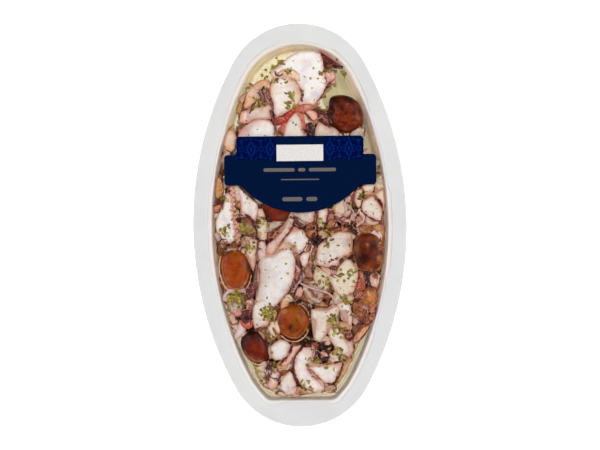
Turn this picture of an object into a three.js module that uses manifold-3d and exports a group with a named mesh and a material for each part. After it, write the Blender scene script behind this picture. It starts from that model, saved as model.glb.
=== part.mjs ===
// Octopus carpaccio with olives, in oil, in its sealed oval tray with a label.
// Millimetres, +Z up. The origin is the middle of the tray's foot, +Y runs along the tray to its round end.
import * as THREE from "three";
import { mergeVertices } from "three/addons/utils/BufferGeometryUtils.js";
import Module from "manifold-3d";

const wasm = await Module();
wasm.setup();

// ---- Driving dimensions ----

const GAP = 0.3; // between neighbouring solids

const TRAY = {
  width: 115.6, // across the flange
  length: 218,
  endRadius: 40.5, // of the flange's two ends
  wall: 0.6,
  flangeTop: 13.6,
  lipDrop: 1.3, // how far the flange's outer edge turns down
  sides: 60, // facets around
};

// The well is an oval with one end cut off straight, between two slanting corners.
const WELL = {
  halfWidth: 47.8,
  roundEnd: { halfLength: 98, endRadius: 32.4 },
  cutEnd: { halfLength: 104, endRadius: 27 },
  cutAt: 94.8,
  corner: { x: 25.4, y: 87, toX: 18.4 }, // each slanting corner runs from (x, y) to (toX, cutAt)
  cornerRounding: 0.8,
};

const LEDGE = { z: 12.8, outset: 2.4 }; // shallow step between the flange and the well
const STEP = { z: 7.8, inset: 1.2, width: 0.7 }; // small step half way down the wall
const FLOOR = { inset: 4.6, footWidth: 4, raise: 0.8 };

const FILM = { thickness: 0.25, edgeInset: 1, panelZ: 12.75, panelInset: 2 };
const LABEL = {
  thickness: 0.2,
  x: 0.4,
  top: 47.5,
  shoulder: 38.1,
  wingBottom: 21.6,
  bottom: 6.7,
  topHalfWidth: 34.3,
  wingHalfWidth: 41.1,
  arcHalfWidth: 32.2,
  cornerRadius: 2,
};

const MARINADE = { level: 9 };
const CORE = { footInset: 6.4, topInset: 4, top: 9.8, sides: 28 };
const PIECE_BOTTOM = MARINADE.level + GAP; // pieces that reach past the core lie just above the oil
const OLIVE = { height: 9.2, middleZ: 7.6, rows: 7, sides: 12 };

// ---- Octopus pieces, as they lie ----
// x and y place the middle, bearing is the direction of the length (0 is +Y, 90 is +X), bend is how far the
// piece turns to the right along its length, and taper widens its head. top is the height of its upper face,
// square makes it blunt, and ragged roughens its edge.

const piece = (name, x, y, length, width, bearing, options = {}) => ({
  name, x, y, length, width, bearing,
  bend: 0, taper: 0, top: 11.4, square: 2.4, ragged: 0.05, sides: width < 7 ? 8 : 10,
  ...options,
});

const SLABS = [
  piece("far_slab", 4.6, 79, 30, 21, 3, { taper: 0.3, top: 11.3, square: 2.8 }),
  piece("far_middle", -7.7, 69, 25, 17.5, 6, { top: 12.1, square: 2.6 }),
  piece("far_pink", -6, 80.5, 14, 8.5, 60, { top: 11.8 }),
  piece("far_skin", 18.5, 88, 13, 6.5, 132, { top: 11.6, ragged: 0.12 }),
  piece("far_salmon", -22.8, 70.6, 13, 8.5, 20, { top: 10.7, ragged: 0.1 }),
  piece("far_round", -22, 60.5, 12.5, 10.5, 80, { top: 11.2 }),
  piece("label_left", -24, 50, 20, 12.5, 78, { top: 11.6, taper: -0.15 }),
  piece("red_arch", -3.2, 61.2, 25, 3.4, 66, { bend: 50, top: 12.2, ragged: 0.1 }),
  piece("label_cone", -2.5, 51, 20, 11, 0, { taper: -0.5, top: 12 }),
  piece("label_right", 16, 50, 12, 8, 125, { top: 11.4 }),
  piece("left_salmon", -38, 44.5, 12.5, 6.5, 12, { top: 11 }),
  piece("under_left", -21, 33, 24, 15, -30, { top: 11.2 }),
  piece("under_middle", 3, 29, 26, 17, 15, { top: 11.5 }),
  piece("under_right", 26, 32, 25, 14, -10, { top: 11.3 }),
  piece("under_edge", 40, 33, 14, 7, -8, { top: 11 }),

  piece("left_orange", -42.7, 20.5, 19, 4.6, 0, { top: 11.2, ragged: 0.1 }),
  piece("left_slab", -39.6, 4.5, 27, 10.4, 4, { top: 11.7, square: 2.8 }),
  piece("left_tall", -26.8, 11.5, 28, 10.5, -12, { taper: 0.35, top: 11.5, square: 2.8 }),
  piece("left_brown", -27.6, -1.6, 12, 7.6, -25, { top: 11.9, ragged: 0.12 }),
  piece("left_pale", -26.8, -14.5, 19, 9.2, -12, { top: 10.8 }),
  piece("middle_beige", -19.6, -1, 18.5, 7, -4, { top: 10.9 }),
  piece("long_arm", -10.4, -7, 25, 5, 41, { bend: -8, top: 12.1, square: 3 }),
  piece("mauve_fold", -20.6, -13.4, 9.5, 5, 18, { top: 11.7 }),
  piece("upper_white", -1.4, -9.8, 14.5, 10, 62, { top: 11.3 }),
  piece("great_slab", -14, -33.2, 44.5, 18.6, 16, { bend: 12, top: 12.2, square: 2.6 }),
  piece("herb_slab", -34.4, -43, 16.5, 12, 35, { top: 11.3 }),

  piece("label_edge", 3.5, 3.6, 13, 7, 108, { top: 11.6 }),
  piece("white_drop", 12.2, 3.4, 11, 5, 20, { top: 12 }),
  piece("arc_slab", 24, 8.6, 14, 8.2, 56, { top: 11.7 }),
  piece("cream_strip", 32.8, 12.6, 13.5, 4.3, 4, { top: 12.1 }),
  piece("right_cream", 40.2, 18.2, 11, 5.4, 85, { top: 11 }),
  piece("right_slab", 39.6, 8, 14, 10.6, 148, { top: 11.7, square: 2.8 }),
  piece("box_slab", 18.5, -14.4, 23, 16.6, 46, { top: 12, square: 3.2, taper: -0.08 }),
  piece("small_drop", 2.8, -18.6, 8.4, 4.6, 14, { top: 11.8 }),
  piece("right_pale", 25.6, -28, 21, 11.6, 14, { top: 11.3 }),

  piece("cream_bar", 15.8, -46.8, 22.5, 7.6, 80, { top: 12, square: 3 }),
  piece("cream_leg", 9, -55, 15.5, 7, -9, { top: 11.8, square: 3 }),
  piece("cream_hook", 24.8, -48.6, 14.5, 6.4, -16, { bend: -20, top: 12.2 }),
  piece("grey_slab", 2.4, -38.6, 14.5, 7, 130, { top: 11 }),
  piece("centre_cream", 11.8, -30.2, 14, 8, -10, { top: 10.9 }),
  piece("brown_lens", 13.4, -41.2, 12.5, 4.6, 78, { top: 11.1 }),
  piece("right_tan", 34, -41.5, 14, 9, 18, { top: 10.7, ragged: 0.12 }),
  piece("slant_slab", 20, -62, 16.5, 7.8, -36, { top: 11.8 }),
  piece("right_orange", 31.2, -60, 13, 4.8, 38, { top: 11.6 }),
  piece("pink_slab", 22.6, -69, 14.5, 8.8, 62, { top: 11 }),

  piece("white_disc", -11.8, -67.9, 12.4, 9.4, 42, { top: 12 }),
  piece("pink_band", -5.4, -71.4, 18, 4.8, 44, { bend: -26, top: 11.7 }),
  piece("crescent", -1, -77.2, 34, 7.8, 0, { bend: 185, top: 12.2, sides: 18 }),
  piece("near_wedge", 14.2, -79.4, 14, 15.5, 6, { taper: 0.55, top: 11.9 }),
  piece("near_slab", -7.2, -85.2, 12, 8.8, 12, { top: 11.5 }),
  piece("near_salmon", -14.8, -83.8, 12, 4.6, 30, { top: 11.8 }),
  piece("near_small", -0.8, -89.4, 7, 3.6, 88, { top: 11 }),
  piece("near_edge", 23, -79, 15, 4.2, 28, { top: 11 }),
  piece("brown_leaf", -17.2, -60, 11, 8, 118, { top: 10.8, ragged: 0.1 }),
];

// Clumps of skin, suckers and thin arm tips: each is a ring of small lumps.
const clump = (x, y, size, count, top = 11.8) => ({ x, y, size, count, top });
const CLUMPS = [
  clump(-17.4, 69.5, 7, 3), clump(16.6, 79.5, 7, 3), clump(13.4, 57, 7, 3),
  clump(7.4, 53.4, 6, 2, 11.4), clump(-43, 10, 5, 2), clump(-41.4, -10.4, 4, 2),
  clump(-28.8, -50, 8, 3), clump(-13, -6, 6, 2, 11.2), clump(31.2, 2.6, 8.5, 3),
  clump(22.8, 1.4, 8, 3), clump(5.6, -4.2, 5, 2, 12), clump(11.4, -7.4, 7, 3, 11.4),
  clump(3.6, -28.4, 6, 2), clump(36.6, -49.4, 7, 3), clump(33, -33.4, 8, 3),
  clump(25.4, -58.6, 6, 2, 12), clump(10.8, -68.2, 8, 3), clump(-16, -75.2, 6, 2),
  clump(16.4, -88.4, 6, 2, 11.2), clump(-1.2, -40.4, 4, 2, 12),
];

// Suckers along the edge of an arm: the row runs from one point to the other.
const SUCKER_ROW = { from: [-34.6, 20.5], to: [-32.2, -10], count: 11, diameter: 3.2, top: 12.2 };

const OLIVES = [
  { x: 25.1, y: 59.4, length: 20.4, width: 17.6, bearing: 12 },
  { x: -12.6, y: 10, length: 20, width: 18, bearing: -40 },
  { x: -34.6, y: -24, length: 21.4, width: 16, bearing: -6 },
  { x: 36, y: -14.4, length: 21.4, width: 15.6, bearing: 2 },
  { x: -4.6, y: -52.2, length: 22.6, width: 17.6, bearing: 4 },
  { x: -24.2, y: -65, length: 19.4, width: 15, bearing: -16 },
];

const HERBS = { count: 24, length: 1.9, width: 1.2, height: 0.5, seed: 11 };

// ---- Outlines in plan ----

const radians = (degrees) => (degrees * Math.PI) / 180;

// Distance from the origin to the far side of a circle, along a unit direction.
function reachToCircle(dx, dy, cx, cy, radius) {
  const along = dx * cx + dy * cy;
  return along + Math.sqrt(along * along - cx * cx - cy * cy + radius * radius);
}

// Distance from the middle of a four-centred oval to its edge, along a unit direction.
function reachToOval(dx, dy, halfWidth, halfLength, endRadius) {
  const [x, y] = [Math.abs(dx), Math.abs(dy)];
  const sideRadius =
    (halfWidth ** 2 + halfLength ** 2 - 2 * halfLength * endRadius) / (2 * (halfWidth - endRadius));
  const sideCentre = halfWidth - sideRadius;
  const endCentre = halfLength - endRadius;
  const side = reachToCircle(x, y, sideCentre, 0, sideRadius);
  const onSide = y * side * -sideCentre <= endCentre * (x * side - sideCentre);
  return onSide ? side : reachToCircle(x, y, 0, endCentre, endRadius);
}

// The smallest of several distances, with the change-over rounded.
function roundedMin(distances, rounding) {
  const least = Math.min(...distances);
  const sum = distances.reduce((total, d) => total + Math.exp((least - d) / rounding), 0);
  return least - rounding * Math.log(sum);
}

function reachToFlange(dx, dy, inset) {
  const { width, length, endRadius } = TRAY;
  return reachToOval(dx, dy, width / 2 - inset, length / 2 - inset, endRadius - inset);
}

function reachToWell(dx, dy, inset) {
  const end = dy >= 0 ? WELL.roundEnd : WELL.cutEnd;
  const oval = reachToOval(dx, dy, WELL.halfWidth - inset, end.halfLength - inset, end.endRadius - inset);
  if (dy >= 0) return oval;
  const cut = (WELL.cutAt - inset) / -dy;
  const { x, y, toX } = WELL.corner;
  const slope = Math.hypot(WELL.cutAt - y, x - toX);
  const [nx, ny] = [(WELL.cutAt - y) / slope, (x - toX) / slope];
  const corner = (nx * x + ny * y - inset) / (nx * Math.abs(dx) - ny * dy);
  return roundedMin([oval, cut, corner], WELL.cornerRounding);
}

// One ring of points at a height, clockwise seen from above, from the +X side. reach gives the distance to
// the ring along a unit direction.
function ringOf(reach, z, sides) {
  return Array.from({ length: sides }, (_, i) => {
    const turn = (2 * Math.PI * (i + 0.5)) / sides;
    const direction = new THREE.Vector2(
      Math.cos(turn) * TRAY.width, -Math.sin(turn) * TRAY.length).normalize();
    const distance = reach(direction.x, direction.y);
    return new THREE.Vector3(direction.x * distance, direction.y * distance, z);
  });
}

const flangeRing = (inset, z, sides = TRAY.sides) => ringOf((x, y) => reachToFlange(x, y, inset), z, sides);
const wellRing = (inset, z, sides = TRAY.sides) => ringOf((x, y) => reachToWell(x, y, inset), z, sides);

// ---- Making closed meshes ----

// A closed mesh through rings that have as many points each, clockwise seen from above, from the underside
// over the edge to the top. The two ends are closed across, between the points that face each other.
function loft(rings) {
  const sides = rings[0].length;
  const points = rings.flat();
  const faces = [];
  for (let row = 0; row + 1 < rings.length; row++) {
    for (let i = 0; i < sides; i++) {
      const [a, b] = [row * sides + i, row * sides + ((i + 1) % sides)];
      faces.push(a, a + sides, b, b, a + sides, b + sides);
    }
  }
  const lastRow = (rings.length - 1) * sides;
  for (let i = 0; i < sides / 2 - 1; i++) {
    const [left, right] = [i, sides - 1 - i];
    for (const [row, turned] of [[0, false], [lastRow, true]]) {
      const [a, b, c, d] = [row + left, row + left + 1, row + right, row + right - 1];
      faces.push(...(turned ? [a, c, b, b, c, d] : [a, b, c, b, d, c]));
    }
  }
  const geometry = new THREE.BufferGeometry().setFromPoints(points);
  geometry.setIndex(faces);
  return geometry;
}

function solidFrom(geometry) {
  const bare = geometry.index ? geometry.toNonIndexed() : geometry.clone();
  bare.deleteAttribute("normal");
  bare.deleteAttribute("uv");
  const merged = mergeVertices(bare, 1e-4);
  return new wasm.Manifold(
    new wasm.Mesh({
      numProp: 3,
      vertProperties: merged.attributes.position.array,
      triVerts: new Uint32Array(merged.index.array),
    }),
  );
}

function geometryFrom(solid) {
  const { vertProperties, triVerts } = solid.getMesh();
  return new THREE.BufferGeometry()
    .setAttribute("position", new THREE.BufferAttribute(vertProperties, 3))
    .setIndex(new THREE.BufferAttribute(triVerts, 1));
}

const largestBody = (solid) =>
  solid.decompose().reduce((largest, body) => (body.volume() > largest.volume() ? body : largest));

// A repeatable draw from 0 to 1.
const draw = (seed) => {
  const value = Math.sin(seed * 12.9898) * 43758.5453;
  return value - Math.floor(value);
};

// ---- The pack ----

function makeTray() {
  const { wall, flangeTop, lipDrop } = TRAY;
  const footOuter = FLOOR.inset;
  const footInner = footOuter + FLOOR.footWidth;
  return loft([
    wellRing(footInner + wall + 0.6, FLOOR.raise),
    wellRing(footInner, 0),
    wellRing(footOuter - 0.3, 0),
    wellRing(footOuter - wall - 0.9, wall),
    wellRing(STEP.inset + STEP.width - wall, STEP.z - 0.3 - wall),
    wellRing(STEP.inset - wall, STEP.z - wall),
    wellRing(-wall, LEDGE.z - 0.2 - wall),
    wellRing(-LEDGE.outset, LEDGE.z - wall),
    wellRing(-LEDGE.outset - 0.5, flangeTop - wall),
    flangeRing(wall, flangeTop - wall),
    flangeRing(wall, flangeTop - lipDrop),
    flangeRing(0, flangeTop - lipDrop),
    flangeRing(0, flangeTop - 0.4),
    flangeRing(0.4, flangeTop),
    wellRing(-LEDGE.outset - 0.1, flangeTop),
    wellRing(-LEDGE.outset + 0.3, LEDGE.z),
    wellRing(-0.3, LEDGE.z),
    wellRing(0, LEDGE.z - 0.3),
    wellRing(STEP.inset, STEP.z),
    wellRing(STEP.inset + STEP.width, STEP.z - 0.3),
    wellRing(footOuter - 1, wall + 1.2),
    wellRing(footOuter, wall),
    wellRing(footInner + wall, wall),
    wellRing(footInner + 2 * wall, wall + FLOOR.raise),
  ]);
}

function makeFilm() {
  const { thickness, edgeInset, panelZ, panelInset } = FILM;
  return loft([
    wellRing(panelInset, panelZ),
    wellRing(-LEDGE.outset, TRAY.flangeTop),
    flangeRing(edgeInset, TRAY.flangeTop),
    flangeRing(edgeInset, TRAY.flangeTop + thickness),
    wellRing(-LEDGE.outset, TRAY.flangeTop + thickness),
    wellRing(panelInset, panelZ + thickness),
  ]);
}

// The label's outline: a band with rounded shoulders, wider wings, and an arc hanging below them.
function makeLabel() {
  const { x, top, shoulder, wingBottom, bottom, cornerRadius: r } = LABEL;
  const { topHalfWidth, wingHalfWidth, arcHalfWidth, thickness } = LABEL;
  const drop = wingBottom - bottom;
  const arcRadius = (arcHalfWidth ** 2 + drop ** 2) / (2 * drop);
  const arcSpan = Math.asin(arcHalfWidth / arcRadius);
  const shape = new THREE.Shape();
  shape.moveTo(-topHalfWidth, shoulder);
  shape.lineTo(-topHalfWidth, top - r);
  shape.absarc(-topHalfWidth + r, top - r, r, Math.PI, Math.PI / 2, true);
  shape.absarc(topHalfWidth - r, top - r, r, Math.PI / 2, 0, true);
  shape.lineTo(topHalfWidth, shoulder);
  shape.absarc(wingHalfWidth - r, shoulder - r, r, Math.PI / 2, 0, true);
  shape.absarc(wingHalfWidth - r, wingBottom + r, r, 0, -Math.PI / 2, true);
  shape.lineTo(arcHalfWidth, wingBottom);
  shape.absarc(0, bottom + arcRadius, arcRadius, arcSpan - Math.PI / 2, -arcSpan - Math.PI / 2, true);
  shape.lineTo(-wingHalfWidth + r, wingBottom);
  shape.absarc(-wingHalfWidth + r, wingBottom + r, r, -Math.PI / 2, -Math.PI, true);
  shape.absarc(-wingHalfWidth + r, shoulder - r, r, Math.PI, Math.PI / 2, true);
  shape.closePath();
  const geometry = new THREE.ExtrudeGeometry(shape, {
    depth: thickness, bevelEnabled: false, curveSegments: 4,
  });
  return geometry.translate(x, 0, FILM.panelZ + FILM.thickness);
}

// ---- The food ----

// A point of a piece in plan: u runs along its length and v across it, each from -1 to 1.
function pointOfPiece(p, u, v) {
  const bearing = radians(p.bearing);
  const turned = (radians(p.bend) * u) / 2;
  const radius = p.bend ? p.length / radians(p.bend) : 0;
  const along = p.bend ? radius * Math.sin(turned) : (p.length * u) / 2;
  const aside = p.bend ? radius * (1 - Math.cos(turned)) : 0;
  const across = (v * p.width * (1 + p.taper * u)) / 2;
  const heading = new THREE.Vector2(Math.sin(bearing), Math.cos(bearing));
  const right = new THREE.Vector2(heading.y, -heading.x);
  const rightHere = new THREE.Vector2(Math.cos(bearing + turned), -Math.sin(bearing + turned));
  return new THREE.Vector2(p.x, p.y)
    .addScaledVector(heading, along)
    .addScaledVector(right, aside)
    .addScaledVector(rightHere, across);
}

const blunted = (value, square) => Math.sign(value) * Math.abs(value) ** (2 / square);

// One ring round a piece, shrunk towards its middle line by scale. The points pair up across the piece.
function ringOfPiece(p, seed, scale, z) {
  return Array.from({ length: p.sides }, (_, i) => {
    const turn = (2 * Math.PI * (i + 0.5)) / p.sides;
    const wave = (k) => Math.sin(k * turn + 2 * Math.PI * draw(seed + k));
    const rough = scale * (1 + p.ragged * (wave(2) + wave(3) + 0.7 * wave(5)));
    const [u, v] = [blunted(Math.cos(turn), p.square), blunted(Math.sin(turn), p.square)];
    const spot = pointOfPiece(p, u * Math.min(rough, 1.05), v * rough);
    return new THREE.Vector3(spot.x, spot.y, z);
  });
}

function makeSlab(p, seed) {
  const shoulder = 0.6;
  return loft([
    ringOfPiece(p, seed, 1, PIECE_BOTTOM),
    ringOfPiece(p, seed, 1, p.top - shoulder),
    ringOfPiece(p, seed, 0.88, p.top),
  ]);
}

// A small round lump, such as a sucker or a curled arm tip.
function makeLump(x, y, diameter, top) {
  const lump = piece("lump", x, y, diameter, diameter, 0, { square: 2, ragged: 0, sides: 6 });
  return loft([
    ringOfPiece(lump, 0, 1, PIECE_BOTTOM),
    ringOfPiece(lump, 0, 0.75, top),
  ]);
}

function lumpsOfClump({ x, y, size, count, top }, seed) {
  return Array.from({ length: count }, (_, i) => {
    const turn = 2 * Math.PI * (i / count + draw(seed));
    const diameter = size * (0.38 + 0.2 * draw(seed + i));
    const out = (size - diameter) / 2;
    return makeLump(
      x + out * Math.sin(turn), y + out * Math.cos(turn), diameter, top - 0.5 * draw(seed + 2 * i));
  });
}

function lumpsOfRow({ from, to, count, diameter, top }) {
  return Array.from({ length: count }, (_, i) => {
    const share = i / (count - 1);
    const [x, y] = [0, 1].map((k) => from[k] + (to[k] - from[k]) * share);
    return makeLump(x, y, diameter * (1.1 - 0.3 * share), top - 0.3 * (i % 2));
  });
}

function insideWell(x, y, inset) {
  const distance = Math.hypot(x, y);
  return distance < reachToWell(x / distance, y / distance, inset);
}

// Flakes of dried herb, scattered on the slabs and standing proud of them.
function makeHerbs() {
  return Array.from({ length: HERBS.count }, (_, i) => {
    const seed = HERBS.seed + 7 * i;
    const slab = SLABS[Math.floor(draw(seed) * SLABS.length)];
    const spot = pointOfPiece(slab, 1.3 * draw(seed + 1) - 0.65, 1.3 * draw(seed + 2) - 0.65);
    const size = 0.8 + 0.5 * draw(seed + 3);
    const flake = piece("flake", spot.x, spot.y, HERBS.length * size, HERBS.width * size,
      360 * draw(seed + 4), { square: 2, ragged: 0, sides: 4 });
    return loft([
      ringOfPiece(flake, 0, 1, slab.top - 0.4),
      ringOfPiece(flake, 0, 0.9, slab.top - 0.4 + HERBS.height + 0.3),
    ]);
  });
}

// The bulk of the octopus under the pieces that show, grown by a margin for what is fitted to it.
function makeCore(margin) {
  const bottom = FLOOR.raise + TRAY.wall + GAP - margin;
  const ring = (inset, z) =>
    ringOf((dx, dy) => {
      const turn = Math.atan2(dx, dy);
      const farGap = 9 * Math.max(0, dy) ** 8; // the oil shows at the round end
      const wave = 0.7 * Math.sin(5 * turn) + 0.6 * Math.sin(9 * turn + 1);
      return reachToWell(dx, dy, inset - margin + farGap) + wave;
    }, z, CORE.sides);
  const { footInset, topInset, top } = CORE;
  return loft([
    ring(footInset + 1, bottom),
    ring(footInset, 3),
    ring(topInset, top - 1.5),
    ring(topInset + 0.8, top + margin),
  ]);
}

// An olive, with its upper side pressed flat by the film, grown by a margin.
function makeOlive(olive, margin) {
  const { height, middleZ, rows, sides } = OLIVE;
  const shape = piece("olive", olive.x, olive.y, olive.length + 2 * margin, olive.width + 2 * margin,
    olive.bearing, { square: 2.1, ragged: 0, sides });
  const rings = Array.from({ length: rows }, (_, i) => {
    const turn = radians(-75 + (150 * i) / (rows - 1));
    const z = middleZ + (height / 2 + margin) * (Math.sin(turn) / Math.sin(radians(75)));
    return ringOfPiece(shape, 0, Math.cos(turn) ** 0.8, z);
  });
  return loft(rings);
}

const olivePockets = OLIVES.map((olive) => solidFrom(makeOlive(olive, GAP)));
const cutPockets = (solid) => olivePockets.reduce((rest, pocket) => rest.subtract(pocket), solid);

function makeOctopus() {
  const shapes = [
    ...SLABS.map((slab, i) => makeSlab(slab, 10 * i + 1)),
    ...CLUMPS.flatMap((each, i) => lumpsOfClump(each, 20 * i + 3)),
    ...lumpsOfRow(SUCKER_ROW),
    ...makeHerbs(),
  ];
  const wellRoom = solidFrom(loft([wellRing(1.4, 0), wellRing(1.4, TRAY.flangeTop)]));
  const joined = shapes.reduce((heap, shape) => heap.add(solidFrom(shape)), solidFrom(makeCore(0)));
  return geometryFrom(largestBody(cutPockets(joined.intersect(wellRoom))));
}

// The oil: it fills the well round the octopus and the olives, up to its level.
function makeMarinade() {
  const floor = TRAY.wall + GAP;
  const footInner = FLOOR.inset + FLOOR.footWidth;
  const fill = solidFrom(loft([
    wellRing(footInner + 2 * TRAY.wall - 0.1, floor + FLOOR.raise),
    wellRing(footInner, floor),
    wellRing(FLOOR.inset + GAP, floor),
    wellRing(FLOOR.inset - 1 + GAP, floor + 1.2),
    wellRing(STEP.inset + STEP.width + GAP, STEP.z - 0.3),
    wellRing(STEP.inset + GAP, STEP.z + 0.2),
    wellRing(STEP.inset + GAP - 0.2, MARINADE.level),
  ]));
  return geometryFrom(largestBody(cutPockets(fill.subtract(solidFrom(makeCore(GAP))))));
}

// ---- Materials and the group ----

const material = (color, roughness, options = {}) =>
  new THREE.MeshStandardMaterial({ color, roughness, metalness: 0, ...options });

const MATERIALS = {
  tray: material(0xd9dada, 0.45, { transparent: true, opacity: 0.8 }),
  film: material(0xffffff, 0.1, { transparent: true, opacity: 0.12 }),
  label: material(0x0b1a4a, 0.6),
  octopus: material(0xe6dad6, 0.35),
  marinade: material(0xd9d2a0, 0.1, { transparent: true, opacity: 0.6 }),
  paleOlive: material(0x96450f, 0.3),
  darkOlive: material(0x5e2014, 0.3),
};
const DARK_OLIVES = [0, 1, 3, 5];

const pack = new THREE.Group();

function addNode(name, geometry, look) {
  const mesh = new THREE.Mesh(geometry, look);
  mesh.name = name;
  pack.add(mesh);
}

addNode("tray", makeTray(), MATERIALS.tray);
addNode("film", makeFilm(), MATERIALS.film);
addNode("label", makeLabel(), MATERIALS.label);
addNode("octopus", makeOctopus(), MATERIALS.octopus);
addNode("marinade", makeMarinade(), MATERIALS.marinade);
OLIVES.forEach((olive, i) => {
  const look = DARK_OLIVES.includes(i) ? MATERIALS.darkOlive : MATERIALS.paleOlive;
  addNode(`olive_${i + 1}`, makeOlive(olive, 0), look);
});

export default pack;
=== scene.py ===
"""Looks for the sealed tray of octopus in oil: tray, film, label, sliced octopus, olives, oil and herbs."""

import math
import random

import bmesh
import bpy
import numpy as np
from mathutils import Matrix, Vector, noise
from mathutils.bvhtree import BVHTree
from mathutils.geometry import delaunay_2d_cdt


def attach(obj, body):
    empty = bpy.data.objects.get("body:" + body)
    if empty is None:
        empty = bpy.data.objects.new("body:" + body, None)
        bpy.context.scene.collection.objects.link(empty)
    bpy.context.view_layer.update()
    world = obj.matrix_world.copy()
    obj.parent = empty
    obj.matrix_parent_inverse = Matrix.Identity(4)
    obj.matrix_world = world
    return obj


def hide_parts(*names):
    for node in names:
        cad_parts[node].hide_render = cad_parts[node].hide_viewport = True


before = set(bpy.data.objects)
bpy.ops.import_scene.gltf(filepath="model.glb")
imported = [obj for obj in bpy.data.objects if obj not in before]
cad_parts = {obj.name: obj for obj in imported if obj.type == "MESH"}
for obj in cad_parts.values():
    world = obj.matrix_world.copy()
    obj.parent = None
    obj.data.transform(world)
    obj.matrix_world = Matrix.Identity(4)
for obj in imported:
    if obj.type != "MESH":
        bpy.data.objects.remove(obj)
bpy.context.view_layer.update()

MM = 0.001  # every length below is in millimetres until a mesh is made

# ---------------------------------------------------------------- sizes, as in the part

FLANGE_HALF = (57.8, 109.0)
FLANGE_END_RADIUS = 40.5
WELL_HALF_WIDTH = 47.8
ROUND_END = (98.0, 32.4)  # half length, end radius
CUT_END = (104.0, 27.0)
CUT_AT = 94.8
CORNER = (25.4, 87.0, 18.4)  # x, y, and x where it meets the cut
CORNER_ROUNDING = 0.8
FLANGE_TOP = 13.6
LIP = 1.3
LEDGE_Z = 12.8
OIL_LEVEL = 9.2
FILM_PANEL = 12.75
FILM_THICKNESS = 0.25
FILM_TOP = 13.84  # where the film lies on the flange
FLOOR_Z = 1.4
BED_Z = 1.42  # the underside of what lies on the floor
UNDER_FILM = 12.55  # the octopus reaches no higher


# ---------------------------------------------------------------- outlines in plan


def reach_to_circle(dx, dy, cx, cy, radius):
    along = dx * cx + dy * cy
    return along + np.sqrt(np.maximum(along**2 - cx * cx - cy * cy + radius**2, 0))


def reach_to_oval(dx, dy, half_width, half_length, end_radius):
    dx, dy = np.abs(dx), np.abs(dy)
    side_radius = (half_width**2 + half_length**2 - 2 * half_length * end_radius) / (
        2 * (half_width - end_radius)
    )
    side_centre = half_width - side_radius
    end_centre = half_length - end_radius
    side = reach_to_circle(dx, dy, side_centre, 0, side_radius)
    on_side = dy * side * -side_centre <= end_centre * (dx * side - side_centre)
    return np.where(on_side, side, reach_to_circle(dx, dy, 0, end_centre, end_radius))


def reach_to_well(dx, dy, inset):
    far = reach_to_oval(dx, dy, WELL_HALF_WIDTH - inset, ROUND_END[0] - inset, ROUND_END[1] - inset)
    near = reach_to_oval(dx, dy, WELL_HALF_WIDTH - inset, CUT_END[0] - inset, CUT_END[1] - inset)
    x, y, to_x = CORNER
    slope = math.hypot(CUT_AT - y, x - to_x)
    nx, ny = (CUT_AT - y) / slope, (x - to_x) / slope
    down = np.maximum(-dy, 1e-9)
    cut = (CUT_AT - inset) / down
    corner = (nx * x + ny * y - inset) / (nx * np.abs(dx) + ny * down)
    least = np.minimum(np.minimum(near, cut), corner)
    total = sum(np.exp(np.clip((least - d) / CORNER_ROUNDING, -60, 0)) for d in (near, cut, corner))
    return np.where(dy >= 0, far, least - CORNER_ROUNDING * np.log(total))


def turn_of(dx, dy):
    """The direction in degrees, as seen in a tray squeezed to a circle."""
    return np.degrees(np.arctan2(dy / FLANGE_HALF[1], dx / FLANGE_HALF[0])) % 360


def ledge_outset(dx, dy):
    """The ledge's width round the well: it steps in and out by about a millimetre between the jogs."""
    turn = turn_of(dx, dy)
    width = np.full_like(turn, 2.4)
    for i, jog in enumerate((12, 43, 71, 104, 140, 166, 197, 221, 259, 287, 322, 343)):  # degrees
        width += (0.55 if i % 2 else -0.55) * np.tanh((turn - jog) / 0.8)
    return width


def reach_to(kind, dx, dy, inset):
    """How far it is to the edge of the flange, the ledge or the well, less an inset."""
    if kind == "flange":
        half_width, half_length = FLANGE_HALF
        return reach_to_oval(dx, dy, half_width - inset, half_length - inset, FLANGE_END_RADIUS - inset)
    if kind == "ledge":
        inset = inset - ledge_outset(dx, dy)
    return reach_to_well(dx, dy, inset)


def directions(sides):
    """Directions that run clockwise round the tray."""
    turn = 2 * np.pi * (np.arange(sides) + 0.5) / sides
    x, y = np.cos(turn) * FLANGE_HALF[0], -np.sin(turn) * FLANGE_HALF[1]
    length = np.hypot(x, y)
    return x / length, y / length


def row_at(dx, dy, reach, z):
    """A row of points round the tray."""
    return np.column_stack([dx * reach, dy * reach, np.broadcast_to(z, dx.shape)])


def wall_inset(z):
    """How far inside the well's rim the wall's inner face is at a height."""
    return np.interp(z, [0.6, 1.8, 7.5, 7.8, 12.5, 12.8], [4.6, 3.6, 1.9, 1.2, 0.0, -0.3])


def keep_inside(points):
    """Moves points that would cross the wall back to just inside it."""
    margin = 0.35
    x, y, z = points[:, 0], points[:, 1], points[:, 2]
    distance = np.maximum(np.hypot(x, y), 1e-6)
    limit = reach_to_well(x / distance, y / distance, wall_inset(z) + margin)
    scale = np.minimum(1, limit / distance)
    return np.column_stack([x * scale, y * scale, z])


def held(points):
    """Keeps points inside the well and under the film."""
    points = keep_inside(points)
    points[:, 2] = np.minimum(points[:, 2], UNDER_FILM)
    return points


def room(x, y, inset=0.0):
    """How far a place is inside the well's rim, less an inset."""
    distance = max(math.hypot(x, y), 1e-6)
    limit = reach_to_well(np.array([x / distance]), np.array([y / distance]), inset)
    return float(limit[0]) - distance


def within(circles, x, y, margin=0.0):
    return any(math.hypot(x - cx, y - cy) < radius + margin for cx, cy, radius in circles)


# ---------------------------------------------------------------- meshes


def link(name, mesh, material, replaces=()):
    """Puts a mesh into the scene as a piece of the part."""
    mesh.materials.append(material)
    obj = bpy.data.objects.new(name, mesh)
    bpy.context.scene.collection.objects.link(obj)
    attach(obj, "root")
    if replaces:
        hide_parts(*replaces)
    return obj


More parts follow.
